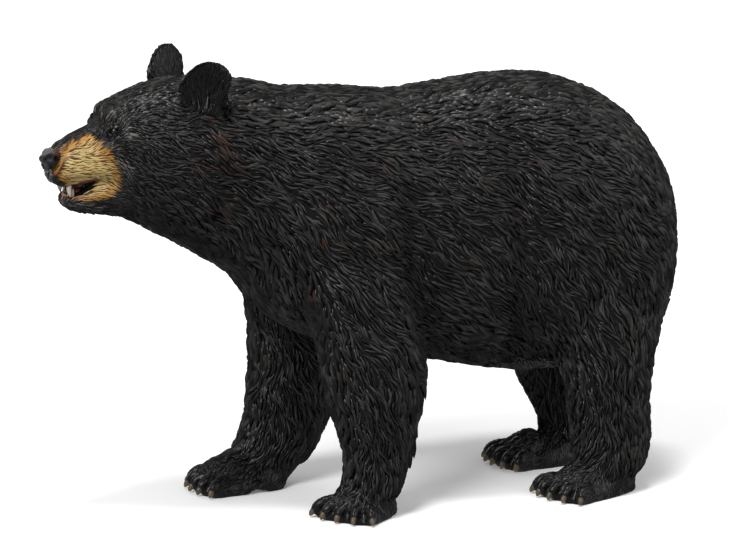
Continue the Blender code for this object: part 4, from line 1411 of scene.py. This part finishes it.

# %% [markdown]
# ## Nose
# The solid gives the pad its outline. A copy is remeshed finely enough to carve: two nostrils
# that open ahead and outward, the slit behind each, and the furrow down to the lip. The back of
# the pad narrows and sinks into the bridge. The paint is a satin near-black, with a painted
# highlight of lighter grey on top, and red-brown where the pad meets the fur.

# %% Carve the nose
nose = joined_copy("nose_pad", ["nose"])
apply_modifier(nose, "REMESH", mode="VOXEL", voxel_size=0.11 * MM)
apply_modifier(nose, "SMOOTH", factor=0.6, iterations=6)
apply_modifier(nose, "DISPLACE", strength=0.08 * MM, mid_level=0.0)
NOSE_STROKES = (
    (-0.80, 1.0, (50.3, 0, 53.3), (49.9, 1.2, 53.1), (49.4, 2.0, 53.1)),
    (-0.35, 1.4, (49.8, 0, 57.0), (48.6, 0, 57.5)),
    (-0.35, 0.9, (50.3, 1.4, 56.2), (49.3, 2.2, 56.5)),
    (0.16, 0.45, (49.9, 1.2, 55.4), (49.3, 2.1, 55.6), (48.6, 2.7, 55.4), (48.2, 2.8, 54.7)),
    (-1.10, 0.46, (50.0, 1.15, 54.35), (49.4, 1.8, 54.7), (48.8, 2.4, 54.7)),
    (-0.45, 0.24, (48.7, 2.6, 54.5), (48.2, 2.8, 53.9), (47.7, 2.8, 53.2)),
    (-0.26, 0.20, (50.4, 0, 54.8), (49.9, 0, 54.0), (49.4, 0, 53.0), (48.9, 0, 52.2)),
)
sculpt(nose, NOSE_STROKES)
NARROW, DROP = 0.32, 0.50  # the share of its width and the mm that the pad loses at its back
points, _, places = read(nose)
to_rear = smoothstep(49.3, 47.6, places[:, 0])
points[:, 0] -= places[:, 1] * NARROW * to_rear * MM
points[:, 2] -= (DROP * to_rear * smoothstep(54.0, 56.5, places[:, 2])) * MM
put(nose, points)
apply_modifier(nose, "SMOOTH", factor=0.5, iterations=1)
bpy.ops.object.shade_smooth()
print("nose:", len(nose.data.polygons), "faces")

# %% Paint the nose
NOSTRIL = (0.62, (49.9, 1.15, 54.35), (49.3, 1.8, 54.7), (48.8, 2.3, 54.65))
store(nose.data, "nostril", line_share(read(nose)[2], (NOSTRIL,)))
pad = Shader("nose_pad", Roughness=0.40, Specular_IOR_Level=0.28)
raw, forward, _, up = pad.position()
cell = pad.node("ShaderNodeTexVoronoi", {"feature": "F1"}, Vector=raw, Scale=2600.0)
mottle = pad.noise(raw, 350.0, 3.0)
slate = pad.mix(mottle, (0.0060, 0.0054, 0.0056), (0.019, 0.017, 0.018))
# A painted highlight: patches of lighter grey over the top of the pad.
painted_top_highlight = pad.step(55.4, 56.6, up) * pad.step(0.30, 0.55, mottle)
slate = pad.mix(painted_top_highlight, slate, (0.042, 0.038, 0.039))
rear = pad.step(49.1, 48.3, forward) * pad.step(57.2, 56.4, up) * 0.9
warm = pad.mix(rear, slate, (0.060, 0.019, 0.010))
pad.link(pad.mix(pad.attribute("nostril"), warm, (0.0015, 0.0012, 0.0012)), "Base Color")
pad.bump(cell, 0.00008, 0.35)
nose.data.materials.append(pad.material)
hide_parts("nose")
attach(nose, "root")

# %% [markdown]
# ## Eyes
# A glossy dark ball with a brown iris and a black pupil, sunk behind the lids. Its clear front
# stands out a little, so that a lamp draws one bright point on it.

# %% Eyes
CORNEA = 0.05  # mm that the clear front stands out
IRIS_REACH = 2.2  # spreads the iris and the pupil over the part that shows
gloss = Shader("eye_gloss", Roughness=0.08, Coat_Weight=0.6)
rim = gloss.attribute("off_axis")
iris = gloss.mix(gloss.step(0.22, 0.30, rim), (0.003, 0.002, 0.002), (0.030, 0.010, 0.007))
gloss.link(gloss.mix(gloss.step(0.55, 0.78, rim), iris, (0.018, 0.008, 0.007)), "Base Color")
for word, side in SIDES.items():
    centre, look = eye_places[word]
    place = at(centre[0], centre[1] * side, centre[2], side)
    ball = ellipsoid(place, (1, 1, 1), 64, 40, EYE_RADIUS)
    ball.name = f"eye_ball_{word}"
    points, normals, places = read(ball)
    off_axis = 1 - np.clip((places - centre) @ look / EYE_RADIUS, 0, 1)
    cornea = CORNEA * smoothstep(0.35, 0.05, off_axis)
    put(ball, points + normals * (cornea * MM)[:, None])
    store(ball.data, "off_axis", off_axis.astype(np.float32) * IRIS_REACH)
    bpy.ops.object.shade_smooth()
    ball.data.materials.append(gloss.material)
    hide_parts(f"eye_{word}")
    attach(ball, "root")
print("eyes:", len(eye_places))

low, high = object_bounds()
print("visual box:", [round(v / MM, 2) for v in (*low, *high)])
